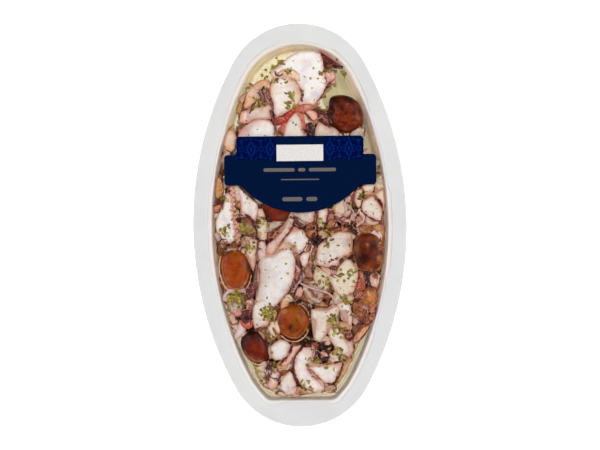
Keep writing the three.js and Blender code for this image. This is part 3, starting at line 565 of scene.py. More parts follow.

# Each slice seen from above: its tone, the height of its top, and the corners of its outline, clockwise: x,
# y and how much skin the edge has there, from 0 for none and 1 for a pink tinge to 2 for a thin line and 3
# for a band. A corner that gives no skin has as much as the one before it. The last rows fill gaps and what
# the label hides. The black slices in the deepest gaps, and the brown strip at x 5 to 9, y -11 to -25, are
# painted shade.
SLICES = """
snow 11.3 -15,83,1 -9.5,87 -4,92,0 2,94.3 8,94.3,1 12.3,93,2.2 13.9,88,1.8 13.6,83.5,1.4 14.8,80,2
    15.9,75.5,2.1 14,72 12,69.2 10.2,66.5,1.8 8,64.4,1 2,64 -3,66,0 -8,76,1 -14.4,80.2,1.4
wine 11.7 11.5,95,2 15,93 18.5,90 22,87 24,84.6,2.5 21.5,84.4,3 18.5,85.3 15.5,84.7 14,86.5 13.8,91,2
blush 12 13.4,84.6,1 16,84,1.2 18.8,83.2,1.6 20,80.6,2.2 19.6,78.6 17.2,77,2.4 15.6,75.4 14.8,78,1.6
    14.2,80.5,1
cameo 11.7 -13,80.5,1 -9.5,84 -4,85 1,82 2.2,77 -1,77 -6,80
ivory 12.1 -14.6,77,1.2 -10.5,80.2,1 -5.5,80 -1.5,78,1.4 0.8,75,1.8 1.8,71,2.1 1.2,67,1.6 0,65,1.4 -4,62.5,1
    -8,60,1.5 -12,57.6,2 -13.8,60.5,2.1 -14,66,1.9 -15.5,70,1.4 -15.8,74,1
salmon 10.9 -29.4,67,1 -28.4,71,0 -26,75 -21,78.6,1 -16.5,79 -14.6,74 -15.5,69,1.5 -17,66 -20,64.5,1
    -24,64.5,1.4 -28,63 -29.8,64
salmon 11.4 -22,73,2 -19.5,74.5 -16,73.5,2.5 -15.8,70,3 -17,67 -19,64.6 -20.5,66.5 -21.4,70
pink 11.2 -29.4,61.5,1.2 -25.4,64.4 -20.6,64.6 -16,66.2,1.6 -14.3,63,2 -14.2,59,2.1 -15,57,1.8 -20,57.4,1.2
    -25,56.4 -29,57.2,1
white 11.6 -33,49,1.6 -31.5,52.4,1.8 -28,55.6 -24,57.4 -20,58,2 -15.5,56.8,1.8 -13,54,2.2 -12.3,50,1.8
    -12,46,1 -22,43.5,0 -32.6,45
coral 11.3 -12.5,45,1 -11.5,52,1.6 -8,57 -4,61,2 0,62.4 3,59 3.6,54 4,49,1.5 6,45,1
pearl 12 -9.6,45,0 -8.5,51,1.2 -6.6,55.6,1.4 -4,59.4 -1.4,61 0.8,58 1.8,54 2.6,50,1.2 3.6,45,1
red 12.3 -15,56.6,2 -12,58.4 -8,59.8 -5,61.6,1.6 -2,64,1.4 2,65.5,1 6.5,65.6 9,64.4 5.5,62.8 3.2,60.5,1.5
    0,61.2 -2.5,60.3,1.6 -5,57.5 -7,55.2 -10,54.3,2 -13.4,54
blush 11.8 3.6,62,1.4 6.4,62.4 10,61,1.8 10.6,57.4,2.4 8,56 6,57,2.2 4.4,59,2
dark 11.2 3.8,55,2 7,55.4 8.6,51 7.6,47,1 4,47
maroon 11.5 8.8,58.8,2.2 11,60.8,2 14.2,60.6,2.2 16,58,2.6 16.2,54.4 14.4,53,2.2 12,55.4
shell 11.4 8.4,50,1 10.4,56 13,54.6,1.6 16,53 19,52.4,1.4 21.5,50.3,1.5 21.4,46,1 9,45,0
flesh 11.3 -40.4,48.5,1 -38.4,51.6 -35.4,51.5 -33.6,47 -34.5,41,1.4 -37,39.5,2 -40,41 -41,44.5,1
tan 11.3 -45.2,25.5,1 -43,26.5 -41.4,24,1.5 -41,19,2 -41.6,16 -43.4,14,1 -45.6,15 -46.2,19 -45.8,22.5
rose 11.4 -46.2,13,1.5 -44,13.6,2 -41.8,14.6,2.4 -41.2,12 -42.5,9.6,2 -44,7 -46.4,7,1.5 -46.9,10,1
white 11.6 -40,17.5,1 -38,17.8 -36.5,16 -36,12,1.3 -35.5,6,1 -35,2 -34.5,-3 -34.6,-7 -37,-9.5,1.4 -40,-9.8
    -42.5,-7.5,1.5 -44,-5,1.3 -45.5,-2,0 -45.7,2 -44.5,5.5 -42.5,9,0.6 -41,13,0.8
white 11.5 -33.2,21,0.6 -30,18.5,0 -26,14.5 -23,12,0.6 -22.6,8,0.8 -23.5,4 -24.2,1.5,1 -26,3,1.4 -29,5
    -31.5,7 -32,12,1.3 -33,17,1
brown 11.8 -31.5,4,1.6 -29,5,2.4 -26.5,3.5,2.8 -25,0.5 -24,-2.5,2.2 -23,-5.5,2 -24.5,-7,2.2 -28,-6.3
    -31,-5,1.6 -32,-2,1.4 -32.2,1,1.6
bone 10.9 -22.5,9,1 -21,6 -19,3.5 -17.5,1.5 -17.3,-3,1.6 -17.8,-7,2 -19.5,-9,1.6 -21.5,-8,1 -23,-5 -23.8,0
    -23,5
bone 10.9 -32.5,-9,1 -30,-6.5 -26,-7 -23,-8,1.4 -22.5,-11,2 -23.8,-15 -24,-19,1.6 -25.5,-25,1.4 -27,-22,1
    -28.5,-17 -31,-13
shell 12.1 -4,4.5,1 -2.6,2.2,2 -3.5,0 -5.5,-3.5,2.1 -8,-6.5,2 -10.5,-9.8,1.8 -12.5,-13,1.5 -14.5,-15.8,1.4
    -17.5,-16,1.2 -19.6,-14.6,1.4 -18.6,-11.5,2 -17.3,-9.2,2.4 -13.5,-6.2,2.2 -10,-3,1.4 -7.3,1,1 -6,3.8
pink 11.8 -20,-8.3,1 -18.6,-9,1.8 -18.9,-12,2 -19.8,-15.5,1.6 -21.5,-14.4,1 -23,-11.5,1.8 -22,-9
clay 10.8 -17.3,-3.5,2 -14,-3.4,1.6 -12,-5,2 -15,-7.6,2.4 -17.6,-8.6
brown 10.6 -16.8,-0.6,1.4 -10.4,-1,1 -8,-1 -11.6,-4.6,1.4 -15,-3.4
grey 11.4 -3.6,5,1.4 -3,8,0 3,8 8,8,1 8,5,1.8 7.5,2,1.4 5.5,1 3,1.2,0.6 1.2,1.6,1.4 -1,3.5,1.8
white 11.5 -3.4,-0.8,1.4 -1.4,-1.2,1.6 0.6,-2.2,2 2.6,-3.4 3.4,-5.5,1.6 4.6,-7.4,2 5.4,-8.6,2.4 4,-10.6,2.2
    2.6,-13 0.6,-15,2 -1,-15.8,1.6 -2.8,-13,1 -4,-11 -7,-11,0.6 -9.5,-9.5,1 -7.4,-6,1.4 -5,-3,1.6
white 12.2 -5.4,-12.2,1 -4,-15 -2.8,-18,1.6 -2.2,-21,1.8 -2.4,-23.4,2.1 -3,-27,1.8 -4,-31 -5.6,-34.4,2
    -8,-37.5,1.8 -10.6,-40.4,1.5 -13,-43,1 -15.4,-45 -20,-42,0 -24.4,-41,0.6 -24,-38 -22.6,-32,1.2
    -22.4,-25,1.6 -22.8,-20.6,1.5 -21,-17,0.8 -18,-16.6,0.6 -14.6,-16.4 -11,-14 -8,-12.6
pearl 11.8 -25.6,-43,0.6 -22,-39.5,0.5 -17,-40 -15.2,-44,0.6 -16.6,-49,1.4 -17,-52,1.6 -17.4,-54.6,2
    -19,-54.6,2.2 -22,-55.2 -25,-55.8,1.4 -26.4,-51,1 -26.2,-46
mauve 11 -2.6,-15,1.6 -0.6,-15.6,2 0.2,-18 0.2,-22 -1.6,-23,2.4 -2.2,-20,2 -2.7,-17.6
rose 11.5 -2.6,-23,2.6 0,-23.6 1.2,-25.6,2.4 0.4,-28.6,2.2 -0.6,-30.6,2.6 -2.6,-32 -3.4,-29,1.6 -2.8,-26
white 11.6 -0.6,-17.6,1 1.4,-15 4.6,-14.6,1.5 5.2,-17,1.8 4.6,-20 3,-22.6 1.4,-23.4,1.5 0.3,-21,1
brown 10.3 5.2,-12,2 9,-11.5,1 8.6,-16 7.8,-21.5 6.6,-24.5 5.4,-22,1.4 5.2,-17,1.6
mauve 11.2 5.2,-9.6,2.2 6.2,-11 5.6,-14,2 4.4,-15 3,-13.8 3.4,-12
clay 11.7 2.8,-4,2.4 4,-2.4,2 6.4,-1.8 8.2,-3 8.4,-5.4 7.2,-7.6,2.6 4.6,-7,2.8 3.2,-5.8
black 10.8 6.2,-7.8,2 9,-7 13,-7 16.2,-4.6 16.6,-6 13.5,-8.8 10.5,-11 7.5,-11.8 5.8,-10
pale 11.3 9.4,-4.4,1.6 11.6,-2.4,2 13.4,-3.4,1.8 15,-6,2 13.4,-7.8 10.4,-7.2
pearl 12 10.3,8.4,1 14.8,9 15,5,1.8 14.2,1.6,2 12.6,-1.6,1.8 10.4,-1.4,1.5 9.6,1.6,1.4 9.8,5,1.6
maroon 11.2 7.9,7,2 9.9,7.6 9.8,4.6 9,1 8.2,0 7.8,3
rose 11.5 15.2,9,2.4 17.6,8.4,2 17.2,6.6 15.6,6,2.4
mauve 10.9 15.4,6,1.4 18.6,6,1.6 18.4,2.8,2 16,3,1.8 14.8,1.6,1.6
tan 11.2 15,1.5,1.5 17,3,2 19.6,1.4 19,-1 16.4,-2.2 14,-1.6,1.8
clay 10.8 14.6,-3,2 18,-2.2 21.5,-1 21.6,-3.4,1.6 18.4,-5,1.4 15.4,-5,1.6
mauve 11.1 18.6,5,3 21,4.2 24,2.2 26.6,1 26,-0.6 22.6,0.4 20,1.4 18.8,3
rose 11.3 22,-1.4,2 24.6,-1,1.8 27,-1.6 26,-3.6,2 23,-5.2,2.2 21.6,-4,2
flesh 11.7 17.8,10.5,1 20.5,12.5,0.6 24,15 27.5,16,0.8 28.4,12,2 29,9,1.8 28.2,6.6,1.4 26.4,4,1.8 24.4,2.8
    21.6,4.4 19,6,1.5 17,8.4
cream 12.1 30.5,18.6,1 33.8,19 33.6,14,0.7 33,10,1 31.6,8.8,1.8 30,10.8,1.6 29.6,14,1
plum 11 28,12,1.6 28.2,17,1 30.2,18 30.4,12,1.4 29.4,10,2
black 11.3 29.4,8.4,2 30.4,10.6 32.2,10 31.6,8 30,7
pearl 11.7 34.4,13,0.8 36.6,15 39.6,15.4,1.4 41.5,13.4,1.9 43.6,10,1.4 44.6,6 44.4,1.2,2.1 41.6,1.6
    38.6,2.8,2.2 36,4.6 33.6,7.2,2 33.4,10,1
pink 11.2 35.6,5.2,2 38.6,3,1.8 42.2,1.8,1.6 42.6,0.4,1 39,-0.6 36,0.2 34.6,2,1.5
white 11.6 27,5.4,1.8 29.4,7.2,1.5 31.4,6.6 31,3.6,1.8 29.4,1.4,2 27.4,1.6 26.4,3,1.8
cream 11.2 34.4,17.5,1.8 37,18.3,2 41,17,1.6 45.4,19,1 46.2,12,1.5 45.6,7 44.8,9.4,1.8 42.8,13.2,2.2
    40.6,16,2 37.4,15.8,1.4 35,13.4,1
pale 10.9 40,21,1 41.5,27 45,27 46,20 43,18,1.6
tan 10.9 39,-0.8,1 43,0.6,1.6 45,-2,1 45.6,-6 43,-6 40,-3
pearl 12 15.8,-6,1.3 19,-4.4,1 21.4,-3.6 24,-3.8 27.4,-4.8 28.6,-9 28.2,-13,1.2 27.6,-16.4,1.8 24,-17.4,2
    21.8,-19.6 20,-22.4 17.6,-22.6,1.8 14,-23.4,1.5 11.4,-22.4,1.4 8.4,-21,1 8.6,-17 9.2,-13,1.3
    10.2,-10.6,1.5 13,-8.6,1.9
cream 11.4 27.6,-19.4,1 28.6,-21 31,-24.6,0.8 31.4,-27.6,0.6 30.4,-32 29,-36.4,1 26,-38.6 21.6,-39
    18.6,-36.4 16.4,-32.6,1.5 15.2,-29.6,1 17.6,-27 19.6,-25 20.4,-22.6,1.8 23,-19.6,2 25.4,-18.4
maroon 11.9 16.4,-22.2,2 18.4,-22 19.8,-23 19,-24.6 17.2,-24.2
lilac 11.5 16,-24.4,1.5 19,-24.6,1.6 19.2,-27.4,2 16.8,-26.8,1.6
pink 11.2 11,-22.8,1 16,-23.6,1.5 17.4,-27,1.4 20,-31,1 17,-30.6 13,-25.6
pale 10.9 8.4,-22.4,1.5 12.4,-24.4,1 16,-26 17.4,-29 16,-31,1.2 16.6,-33.6,1.6 14.4,-36.4,1.4 10,-35.4,1
    7.4,-32 6.6,-28
ash 10.8 2,-24,1.6 4,-23.4,1.8 6.4,-26 7.6,-28.6,2 5,-29.4 2.6,-27.6
ash 10.4 2,-28.6,1.6 7.4,-29.6 8,-33.4,1 4,-32.4,1.4 1,-30,1.6
clay 11.5 31.6,-25,1.8 34,-25.6,2.4 35,-29,1.8 35.6,-33,2.2 34,-36,1.8 33,-39.6 30.4,-41.4,2.6 28.2,-38,2.2
    29.6,-34.8,1.8 31,-31 31.6,-28
black 11 34.4,-25.4,2 38,-25.6 37,-28 37.8,-33 36.4,-33.4 35,-29.6
pink 11 37.4,-27.6,1.5 40,-26.6,1.8 41.4,-28.6,1 41.4,-32.6 39.6,-34 37.8,-32.6,1.5
clay 10.9 34.2,-34.6,1.4 37,-33.8,1 41,-35 42,-39.4,1.8 40.6,-43.4,1.5 37.6,-46,1 33,-44 30.6,-46.6
    28.4,-45.6 28,-42.4 31,-41,1.8 33.6,-38,1.5
clay 10.8 28.4,-44,1.5 32,-44.4 35.6,-46.4,2 35,-50.6 33,-53,1.8 30.4,-50 28,-47.4,1.5
rose 11.5 40.2,-42.8,1.5 41.4,-44,2 40.6,-47.6,3 38.4,-48.6,1.4 37,-46.4,1
clay 11.3 35,-50.4,2 37.6,-49 39.6,-50 38.4,-52.6,2.6 36,-54.6,2 34,-53.6
grey 11.2 28,-49.6,1.4 30,-49,2 31.4,-52.6 29.4,-54.4,1 27.8,-53
moss 10.4 28,-54.4,2 32.4,-54,3 33.4,-55 31,-58.4 28.6,-60,2 27.4,-57
salmon 11.5 36.6,-54.6,1.8 37,-55.8,2 35,-59.4,2.2 32,-62.8 29.6,-64,2.4 27.8,-63,2 28.8,-60,1.5
    31.4,-58,1.4 33.8,-55.2,1.5
white 12.1 19.4,-43,1 21.8,-41.6,1.4 25,-41.8,1.8 26.8,-43.6,1.4 27.4,-47,1 27.8,-51 27.4,-54.6,1.4
    25.6,-54.4,1 25.2,-50 23.6,-47 21,-46.6,0.8
pearl 11.9 5.6,-46,1 9,-45.6 13,-46.2 17,-44.6 20,-43.4,0.8 21,-46,0.7 19.8,-49.6,0.8 15.6,-51.6,1 14.6,-53
    14,-57 12.4,-61 10.8,-63.6,1.5 7,-62.4,0.8 7.2,-58,0.7 7.8,-52 5.6,-50.6,1
pearl 11.7 15.6,-55.6,1 18.6,-54.4,0.8 20.8,-57.4,1 23,-58.6 23.6,-62 25.4,-64.4 26.6,-68 25,-70.6,1.4
    21,-70,0.8 18,-66 15.4,-62 14.6,-58.6,1
straw 11.3 21,-52.6,1.4 24,-52.6 27.6,-54.4,1.8 27.4,-57,2 23.6,-57.6,2.2 21,-56,1
maroon 11.4 23,-58.2,2.4 27.6,-58,2 28.2,-61 26.4,-64,1.6 24.4,-62,2.4
pale 10.9 14.4,-50.8,1.2 19,-50.6 21,-53 18,-55,1 15,-55
shell 11.1 26.6,-62,1 28,-64.6,1.4 28.4,-68,0.8 26.4,-72,1.8 23.6,-73.4 20,-73,1 16,-72.6 15,-70 18,-68
    22,-66
black 10.9 11,-62.6,2 14,-62 16.6,-64.6 16.4,-66.6 14.4,-68.4 15.4,-71.6 14,-73.6 9.6,-74 5.4,-73.6
    6.4,-70.6 9,-67.6 10.8,-66
pink 11.5 10.4,-68.6,1.4 13.4,-69.2 14.6,-70.8 12.4,-71.4 10.6,-70.2
pink 11.5 13,-63.2,1.4 15,-62.6,1.2 16,-64,1.4 14.6,-65,1.8 12.6,-65,1.6
clay 11.2 5.6,-64,1.8 8,-63.6,2 10.4,-65.6,2.4 9.4,-67.4,2.6 7.4,-66,2
moss 11 -40.8,-37.5,1.4 -37,-35.6,1 -32,-35.8 -29.8,-39,1.5 -30,-43.4,1 -31.6,-46 -34,-47.6,1.5 -37,-48
    -39,-46,1 -39.8,-42
pink 11.1 -36,-46.4,1.4 -32,-46,1.6 -31.4,-48.4,2 -34.4,-49.4,1.6 -36.4,-49
maroon 11.5 -31.6,-47,2 -29,-45.4 -26.6,-45.6 -26.6,-49 -27.4,-52.4 -30,-54.6 -32.4,-51.6 -32.6,-49
coral 11.3 -33.4,-51,1.6 -32.6,-53.6,1.8 -30.4,-55.8 -28,-56.2,1.5 -26.2,-54.6 -26,-51,1.4 -28.4,-51,1
    -30.6,-52.4
maroon 10.8 -29.4,-31,2.4 -25.2,-30,2.6 -23.6,-33 -25.4,-38.6 -28,-40.6,2.2 -30,-37.6,2
black 10.6 -25,-20.6,2 -23,-20.6 -22.2,-26 -22.4,-33 -24.4,-38 -25.8,-33 -26,-28 -24.6,-24
pink 11 -29.8,-40.6,1.8 -26.4,-39.4,2 -25.6,-43,1.6 -27,-46 -29.6,-45
moss 10.9 -23,-56.6,1.8 -20.4,-55,2 -17,-55.6 -16,-58,1.4 -13.4,-60.6,1 -13.8,-62.4 -16.6,-64.8 -18.6,-62.4
    -20.6,-59.4
clay 11.1 -15.4,-54,0.8 -14,-55.4 -12.6,-58 -10.6,-60.8 -12.6,-61.8 -14.6,-59 -16,-56
brown 11 -16.6,-47,1 -13.6,-43.6 -11,-43.6 -12.4,-47.6,1.4 -13,-55,1.6 -16.8,-54.4
white 12 -16.8,-66,1 -14.6,-63.6 -11.4,-61.8 -8,-62.8 -5.6,-65,1.4 -6.6,-68,1.5 -8,-71,1.9 -10.6,-73.2,2
    -13.6,-73.4,1.7 -15.8,-71.6,1 -16.8,-69
pink 11.7 -4.6,-65.2,2 0,-65.2,1.8 -2,-68 -4,-72,2 -5.6,-74.6,1.8 -9,-76.4,1.4 -12,-76.2,1.5 -11,-74,2.2
    -8,-72,2.3 -6,-69
maroon 11.3 -18.6,-74,2 -17,-75 -14.6,-73.4 -13,-75.6 -14.6,-76.8 -16.4,-78.6 -17.4,-76.6
clay 10.9 -13,-78.6,1 -7,-78.4 -8.6,-81,1.4 -11,-82.4,1.6 -12,-80,1.4
milk 12.2 6.6,-64.8,1.4 3,-65.4,1.8 0,-66.8,2.2 -2.6,-69.4,2.4 -4.2,-73 -4.4,-77 -3.6,-81 -2.2,-84.6
    0,-87,2.2 3,-89,1.8 6.6,-90.4,1.4 10.6,-90.4,1 12.6,-88.8 10.6,-86 8,-83.4,1.3 5.6,-81,1.5 3.6,-78,1.6
    3.8,-75.4 5.6,-72.6,1.4 7,-69.6 8.4,-67.4,1.6
milk 11.9 5.4,-76.2,1.5 10,-75.8,1.4 15,-75.6,1.6 19.6,-74.8 22.4,-73.4,2.2 22.6,-75.6,2.4 21,-79
    19.6,-83,2.2 17.6,-85.6 13.4,-85.8,1.5 10.6,-84.4,1.4 8,-81.4,1.7 5.6,-79.2,1.6 4,-77,1.7
milk 11.4 -8.8,-81,1 -6.4,-79 -4.8,-80.4 -4,-83.6 -2.6,-86.4,1.4 -4.4,-88.6,1 -7,-90.6,0.8 -11,-90.8,1
    -11.8,-88,1.2 -11,-84,1
pink 11.7 -16.4,-79.2,1.7 -14,-78.4,1.4 -11,-80,2.2 -11.6,-82.6 -12.8,-86,2 -13.6,-88.6 -16.6,-88.8,1
    -18.8,-87 -17.6,-83.6,1.7
straw 11.2 -3,-88.4,1.8 -0.6,-87.4,2.2 2.6,-89.2,1.8 3.4,-91.2,1.4 0,-92.2,1.5 -3.6,-91.8,1
pale 10.4 -24.6,-75,0.6 -19.6,-75,1 -18.4,-79.6,1.4 -18.8,-85.6,1.8 -21,-86,0.6 -24.4,-80
straw 11 22.8,-73,2.2 24.6,-74.4,1.5 26.8,-72,1.4 25.8,-77,1 22.6,-82 19.2,-87.4 18,-86.6 20.6,-82,1.4
    22,-78,1.8
straw 11.1 12.6,-88,1.5 15,-86.6,1.8 17.6,-86.4 19,-88,1.5 17.6,-90.8,1.8 14,-91,1
grey 11.2 -21,42,1 -30,38 -30,28 -18,24 -8,30 -10,40
lilac 11.9 -23,-8.8,2.1 -19.8,-8,2 -18,-12,1.6 -18.4,-17,0 -22.8,-19,1.8 -23.4,-14,2.1
flesh 11.7 -12.6,-13,1 -9.6,-9.4 -5.4,-8.8,0 -4.6,-12,1 -8.6,-13.6
grey 10.9 1.6,-35,1 5,-31.6 10.4,-33,1.4 13,-37.6,1.6 10.6,-42.6 5.6,-43 2.6,-39.6,1.4
clay 10.9 31,-0.6,1.6 36,0.2 41,-2.6 38.6,-5,1.4 32.6,-5
blush 11.3 -31.4,61.4,1 -28,62.6,1.4 -25,58.6,1.6 -25.4,55.6,1.4 -29,54.6 -32,56,1
cream 11.5 18.4,5.6,1.4 21,6.6,1.8 25.4,4.4 28.4,2 26,0.6,2 21.4,2.4
shell 11.2 -23.4,8.6,1 -20.4,9 -18.6,4.6,1.4 -19.4,1 -22.6,2.4,1
shell 11.2 -2,-33.4,2 0.6,-33 1.8,-36.6,1.8 -0.6,-40,1.6 -3,-38.6,1.8
cream 11.2 33.4,20.6,1 37,22.4,1.4 41,21.6,1.8 40.4,17.6 36,16.4,1.4
white 11.4 -6,42,1 -8,26 4,16 14,22 14,40
cream 11.2 17,42,1 16,24 26,20 37,26 36,40
"""

# Stains that the slices have where they lie: tone, then x, y, radius and strength of each. The grey one at
# -17,-69, the mauve ones at -22,-22, -21.5,-30 and -23,-37 and the grey one at -19,-26 are painted shade
# along the left edges of white slices.
STAINS = singles("""
    salmon 0.4,72,3.4,0.75 -1.5,66,3,0.6 -3,78,3.4,0.5 -14.5,74,3.5,0.5 rose -30,52,4.5,0.75
    -24,56.5,3.4,0.55 -15,59,3,0.5 salmon -18,63.5,3,0.5 pink -26,72.5,3,0.7 rose 3,64.6,3.6,0.7 coral
    -9.6,50,2.6,0.6 2.6,53,2.2,0.5 mauve 10,71,3.4,0.2 salmon -38,43,2.4,0.8 orange -44,20,2,0.6 rose
    -37.5,15.5,3,0.3 -25,3.4,3.4,0.35 pink -29,8,3,0.5 tan -28,-1,3,0.55 pink -25.5,-19,4.5,0.7 rose
    -2.6,-2.2,2.8,0.9 tan -6,-9.6,1.8,0.5 -3,-11.6,1.3,0.8 salmon -17.6,-15,2.4,0.7 mauve -22,-22,5,0.5
    -21.5,-30,4.4,0.5 -6,-35,3.6,0.4 -23,-37,4,0.45 grey -19,-26,4,0.5 pearl -36,-45,3.6,0.7 plum
    -3.8,-73,2,0.4 tan 0,74,3,0.35 clay 7.4,-64,2.4,0.5 mauve -3.4,-22,2.2,0.35 maroon -10,57.4,4,0.3 blush
    6,63.6,3,0.6 rose 0.6,61,2.2,0.5 4.6,-68,3.6,0.5 pink 6,3.4,2.4,0.9 orange 5.6,-4.4,1.5,0.7 clay
    27,-9.4,4,0.6 salmon 26,-15.6,2.6,0.6 mauve 14,-21.4,3.4,0.3 salmon 9.4,-14,2.2,0.45 rose 17.6,8.6,2,0.6
    mauve 25,3.6,2,0.5 salmon 31.4,-27,2.6,0.4 orange 38,-40,3.4,0.65 coral 31.6,-33,2.4,0.6 maroon
    30.6,-36,1.3,0.95 black 30.8,-41,1.2,0.8 maroon 37.6,-51.4,1.1,0.9 cream 9.6,-52.6,3.4,0.6
    13.4,-54,3,0.6 salmon 24,-55.6,2.2,0.6 dark 25.6,-60.2,1.6,0.9 brown 29,-60.5,2,0.6 rose -6.6,-66,2,0.35
    salmon -8,-74,3,0.35 mauve 6,-66,2.4,0.6 rose 20.6,-76,2.6,0.45 lilac -15,-80.6,2.2,0.8 maroon
    -11.2,-81.4,1.5,0.8 orange -16,-87,2,0.3 brown -0.6,-90.4,1.5,0.9 17.4,-90,1.1,0.9 moss -21,-81,3,0.35
    coral -34.6,-48,2.4,0.5 rose -18.6,-53.6,2,0.3 grey -17,-69,2,0.7 orange 37.4,15.6,2,0.4 moss
    35.6,14.4,1.5,0.8 tan 44,10,3,0.4
""")

# Clumps of suckers and curled tips: tone, then x, y, size and number of lumps of each.
CLUMPS = singles("""
    mauve -18.6,70,5,6 lilac 16.6,79.8,5,5 mauve 13,57.4,5,4 dark 4.6,50.6,3,4 maroon -44,12.6,5,8
    -43.8,-9,3,3 rose -14,-5.4,4,4 pink 31.6,2.8,4,5 mauve 22.6,1,5,4 rose 6,-4.8,3,3 dark 10.4,-8.6,5,4
    rose -1,-26.6,4,6 clay -1.4,-19,3,3 coral 32.4,-33,6,9 rose 31.4,-38.6,4,5 37.8,-50.8,4,5 mauve
    25.6,-59,4,4 dark 11,-66.6,5,5 mauve 9,-71.4,5,4 maroon -16,-75.8,4,5 bone 15.6,-88.4,4,5 clay
    -2,-40.8,3,3 -37,-9.6,6,7 brown -41.4,-13,3,5 tan -29,-11.6,4,4 clay 40,-27,3,4 plum -26,-34,4,6 mauve
    -27,-43.6,2.6,4 dark -29.2,-50,4,6 maroon -14,-83,2,3 brown -12.6,-90.4,3,3 clay 31.6,-48,5,4 plum
    18,-24.4,2.4,3 maroon 17.4,87.6,5,4
""")

# Thin strips and arm tips that lie on the slices: tone, thickness, and x, y and height of points along each.
STRANDS = """
lilac 1.3 0,-31.5,11.4 4,-33.4,12 9,-35.2,12.2 13.4,-36.4 16.6,-38.4 18.8,-41.8,12
pink 1.4 32,8.4,12 32.8,5.6,12.2 34.6,4.2 34.2,2 32.2,0.2,12.1 30.4,-1,12
rose 1.3 30.4,1.4,12 31.6,3.4,12.1 33.2,4,12.2 33,2.2,12.1 31.8,1.8,12
brown 1 -12.6,83.4,12 -12.2,81.4,12.2 -10.4,80.7 -8.4,82,12
maroon 1.3 12.6,91,12 16,89.6,12.2 20,86.6 23,84.8,12
rose 1.2 11.6,94.2,12 14.4,92.6,12.2 18,90 21.6,87.2,12
dark 1.2 14,86.4,12 16.4,87.6,12.2 19,86,12.1 21.4,85
maroon 0.9 -3.8,4.4,11.8 -1.8,3.6,12 -0.6,1.4 2,0.2,11.8
lilac 0.8 7.2,-68.6,12 6.6,-70.6,12.2 5.8,-73.2,12
brown 0.9 -17.8,-79.6,11.4 -18.2,-82.6,11.2 -19.2,-86,11
maroon 0.9 14.2,-3,11.3 17,-2.6,11.5 19.6,-1.4,11.6 22,-0.8
rose 0.9 21.4,-57.6,12 24,-58.4,12.2 27,-58.4,12
brown 0.8 7,-30,11.4 4.4,-29.4,11.5 2,-28.4,11.4
clay 0.8 9.8,-40.4,11.6 12.4,-39.2,11.8 15.6,-38.6,11.6
maroon 0.9 7,-43.6,11.4 10.4,-44.4,11.6 14.4,-44.4,11.7 17.4,-42.6,11.6
mauve 1 2,-36.6,11.2 5,-40,11.3 9,-42.6,11.4
clay 1.1 4,-34.6,11.3 6.6,-36.6,11.6 8.6,-39.6 9,-36.8
rose 1 5.6,-36.4,11.2 6.6,-38.8,11.4 8.8,-38.8
maroon 0.9 -17.4,-8.8,11.6 -14.6,-7,11.8 -12,-5.2,11.7
brown 1 39.6,-25.6,11.4 41,-26.8,11.6 39.8,-28,11.5
maroon 1 40.6,-44.4,12 40.8,-46.6 40,-49.4,11.8
brown 0.9 15.6,-31,11.4 16,-33.4,11.6 15.4,-36,11.5
dark 0.9 -18.6,75.4,12 -19.8,72.4,12.2 -18.2,69.4 -18.8,66.6,12
maroon 0.8 -22.4,72,12 -20.6,70,12.2 -20.4,67 -18,64.2,12
plum 0.9 -16.2,74,12 -17.6,71,12.2 -16.4,68 -14.4,64.6,12
lilac 0.6 -17,72,12.1 -18.2,70,12.3 -16.8,67.4,12.2 -15.6,66,12
maroon 1.2 -15.4,62.4,12 -14.2,58,12.2 -12.8,53.6 -12.4,49,12
brown 1.5 -13.4,49.4,12 -11,50.4,12.2 -8.4,48.6
maroon 1.1 -1.2,-19,11.8 -0.8,-22,12 0.6,-24.6 -0.6,-27.6 -2,-31 -4.6,-35.6
lilac 1.1 26,14.4,12 24.4,11,12.2 25.4,8 23.6,5.4,12
plum 1 19.4,4.6,12 21.6,3.4,12.1 23.6,4.4 25.6,2.8,12
maroon 1 -23.4,66.6,12 -25.4,63.8 -26.6,60.4,11.8
snow 0.9 29.6,4.6,12.1 31.4,6.4,12.2 33.6,6 34.6,3.6 33.4,1.4,12.1
lilac 1 26.4,9.6,12 28.6,7.4,12.2 29.2,4.4 27.6,2,12
dark 0.8 28,10.4,12 30.2,8.6,12.2 30.8,5.4 29.6,2.6,12
"""

# Rows of small suckers along the edges of slices: tone, size, and x and y of points along each row.
EDGINGS = """
blush 1.5 -2,-22 -1,-24 0,-26.4 -0.4,-29.4 -2,-32.4 -4,-35.4
maroon 1.4 -4.6,4.6 -3,2.2 -0.8,0.4 0.8,-2
plum 1.2 1.6,73 2.2,70 1.4,67
wine 1.3 9.2,-17.6 11.4,-19.4 13.6,-20.6 17,-19.4 20,-18.4
maroon 1.3 -28.8,5.8 -26.8,3.4 -24.4,1.6 -22.4,-1
plum 1.3 22,16 24,13.4 26.4,11.4 29,10.6
maroon 1.2 3.4,-64.8 5.6,-67 7,-69.6
"""
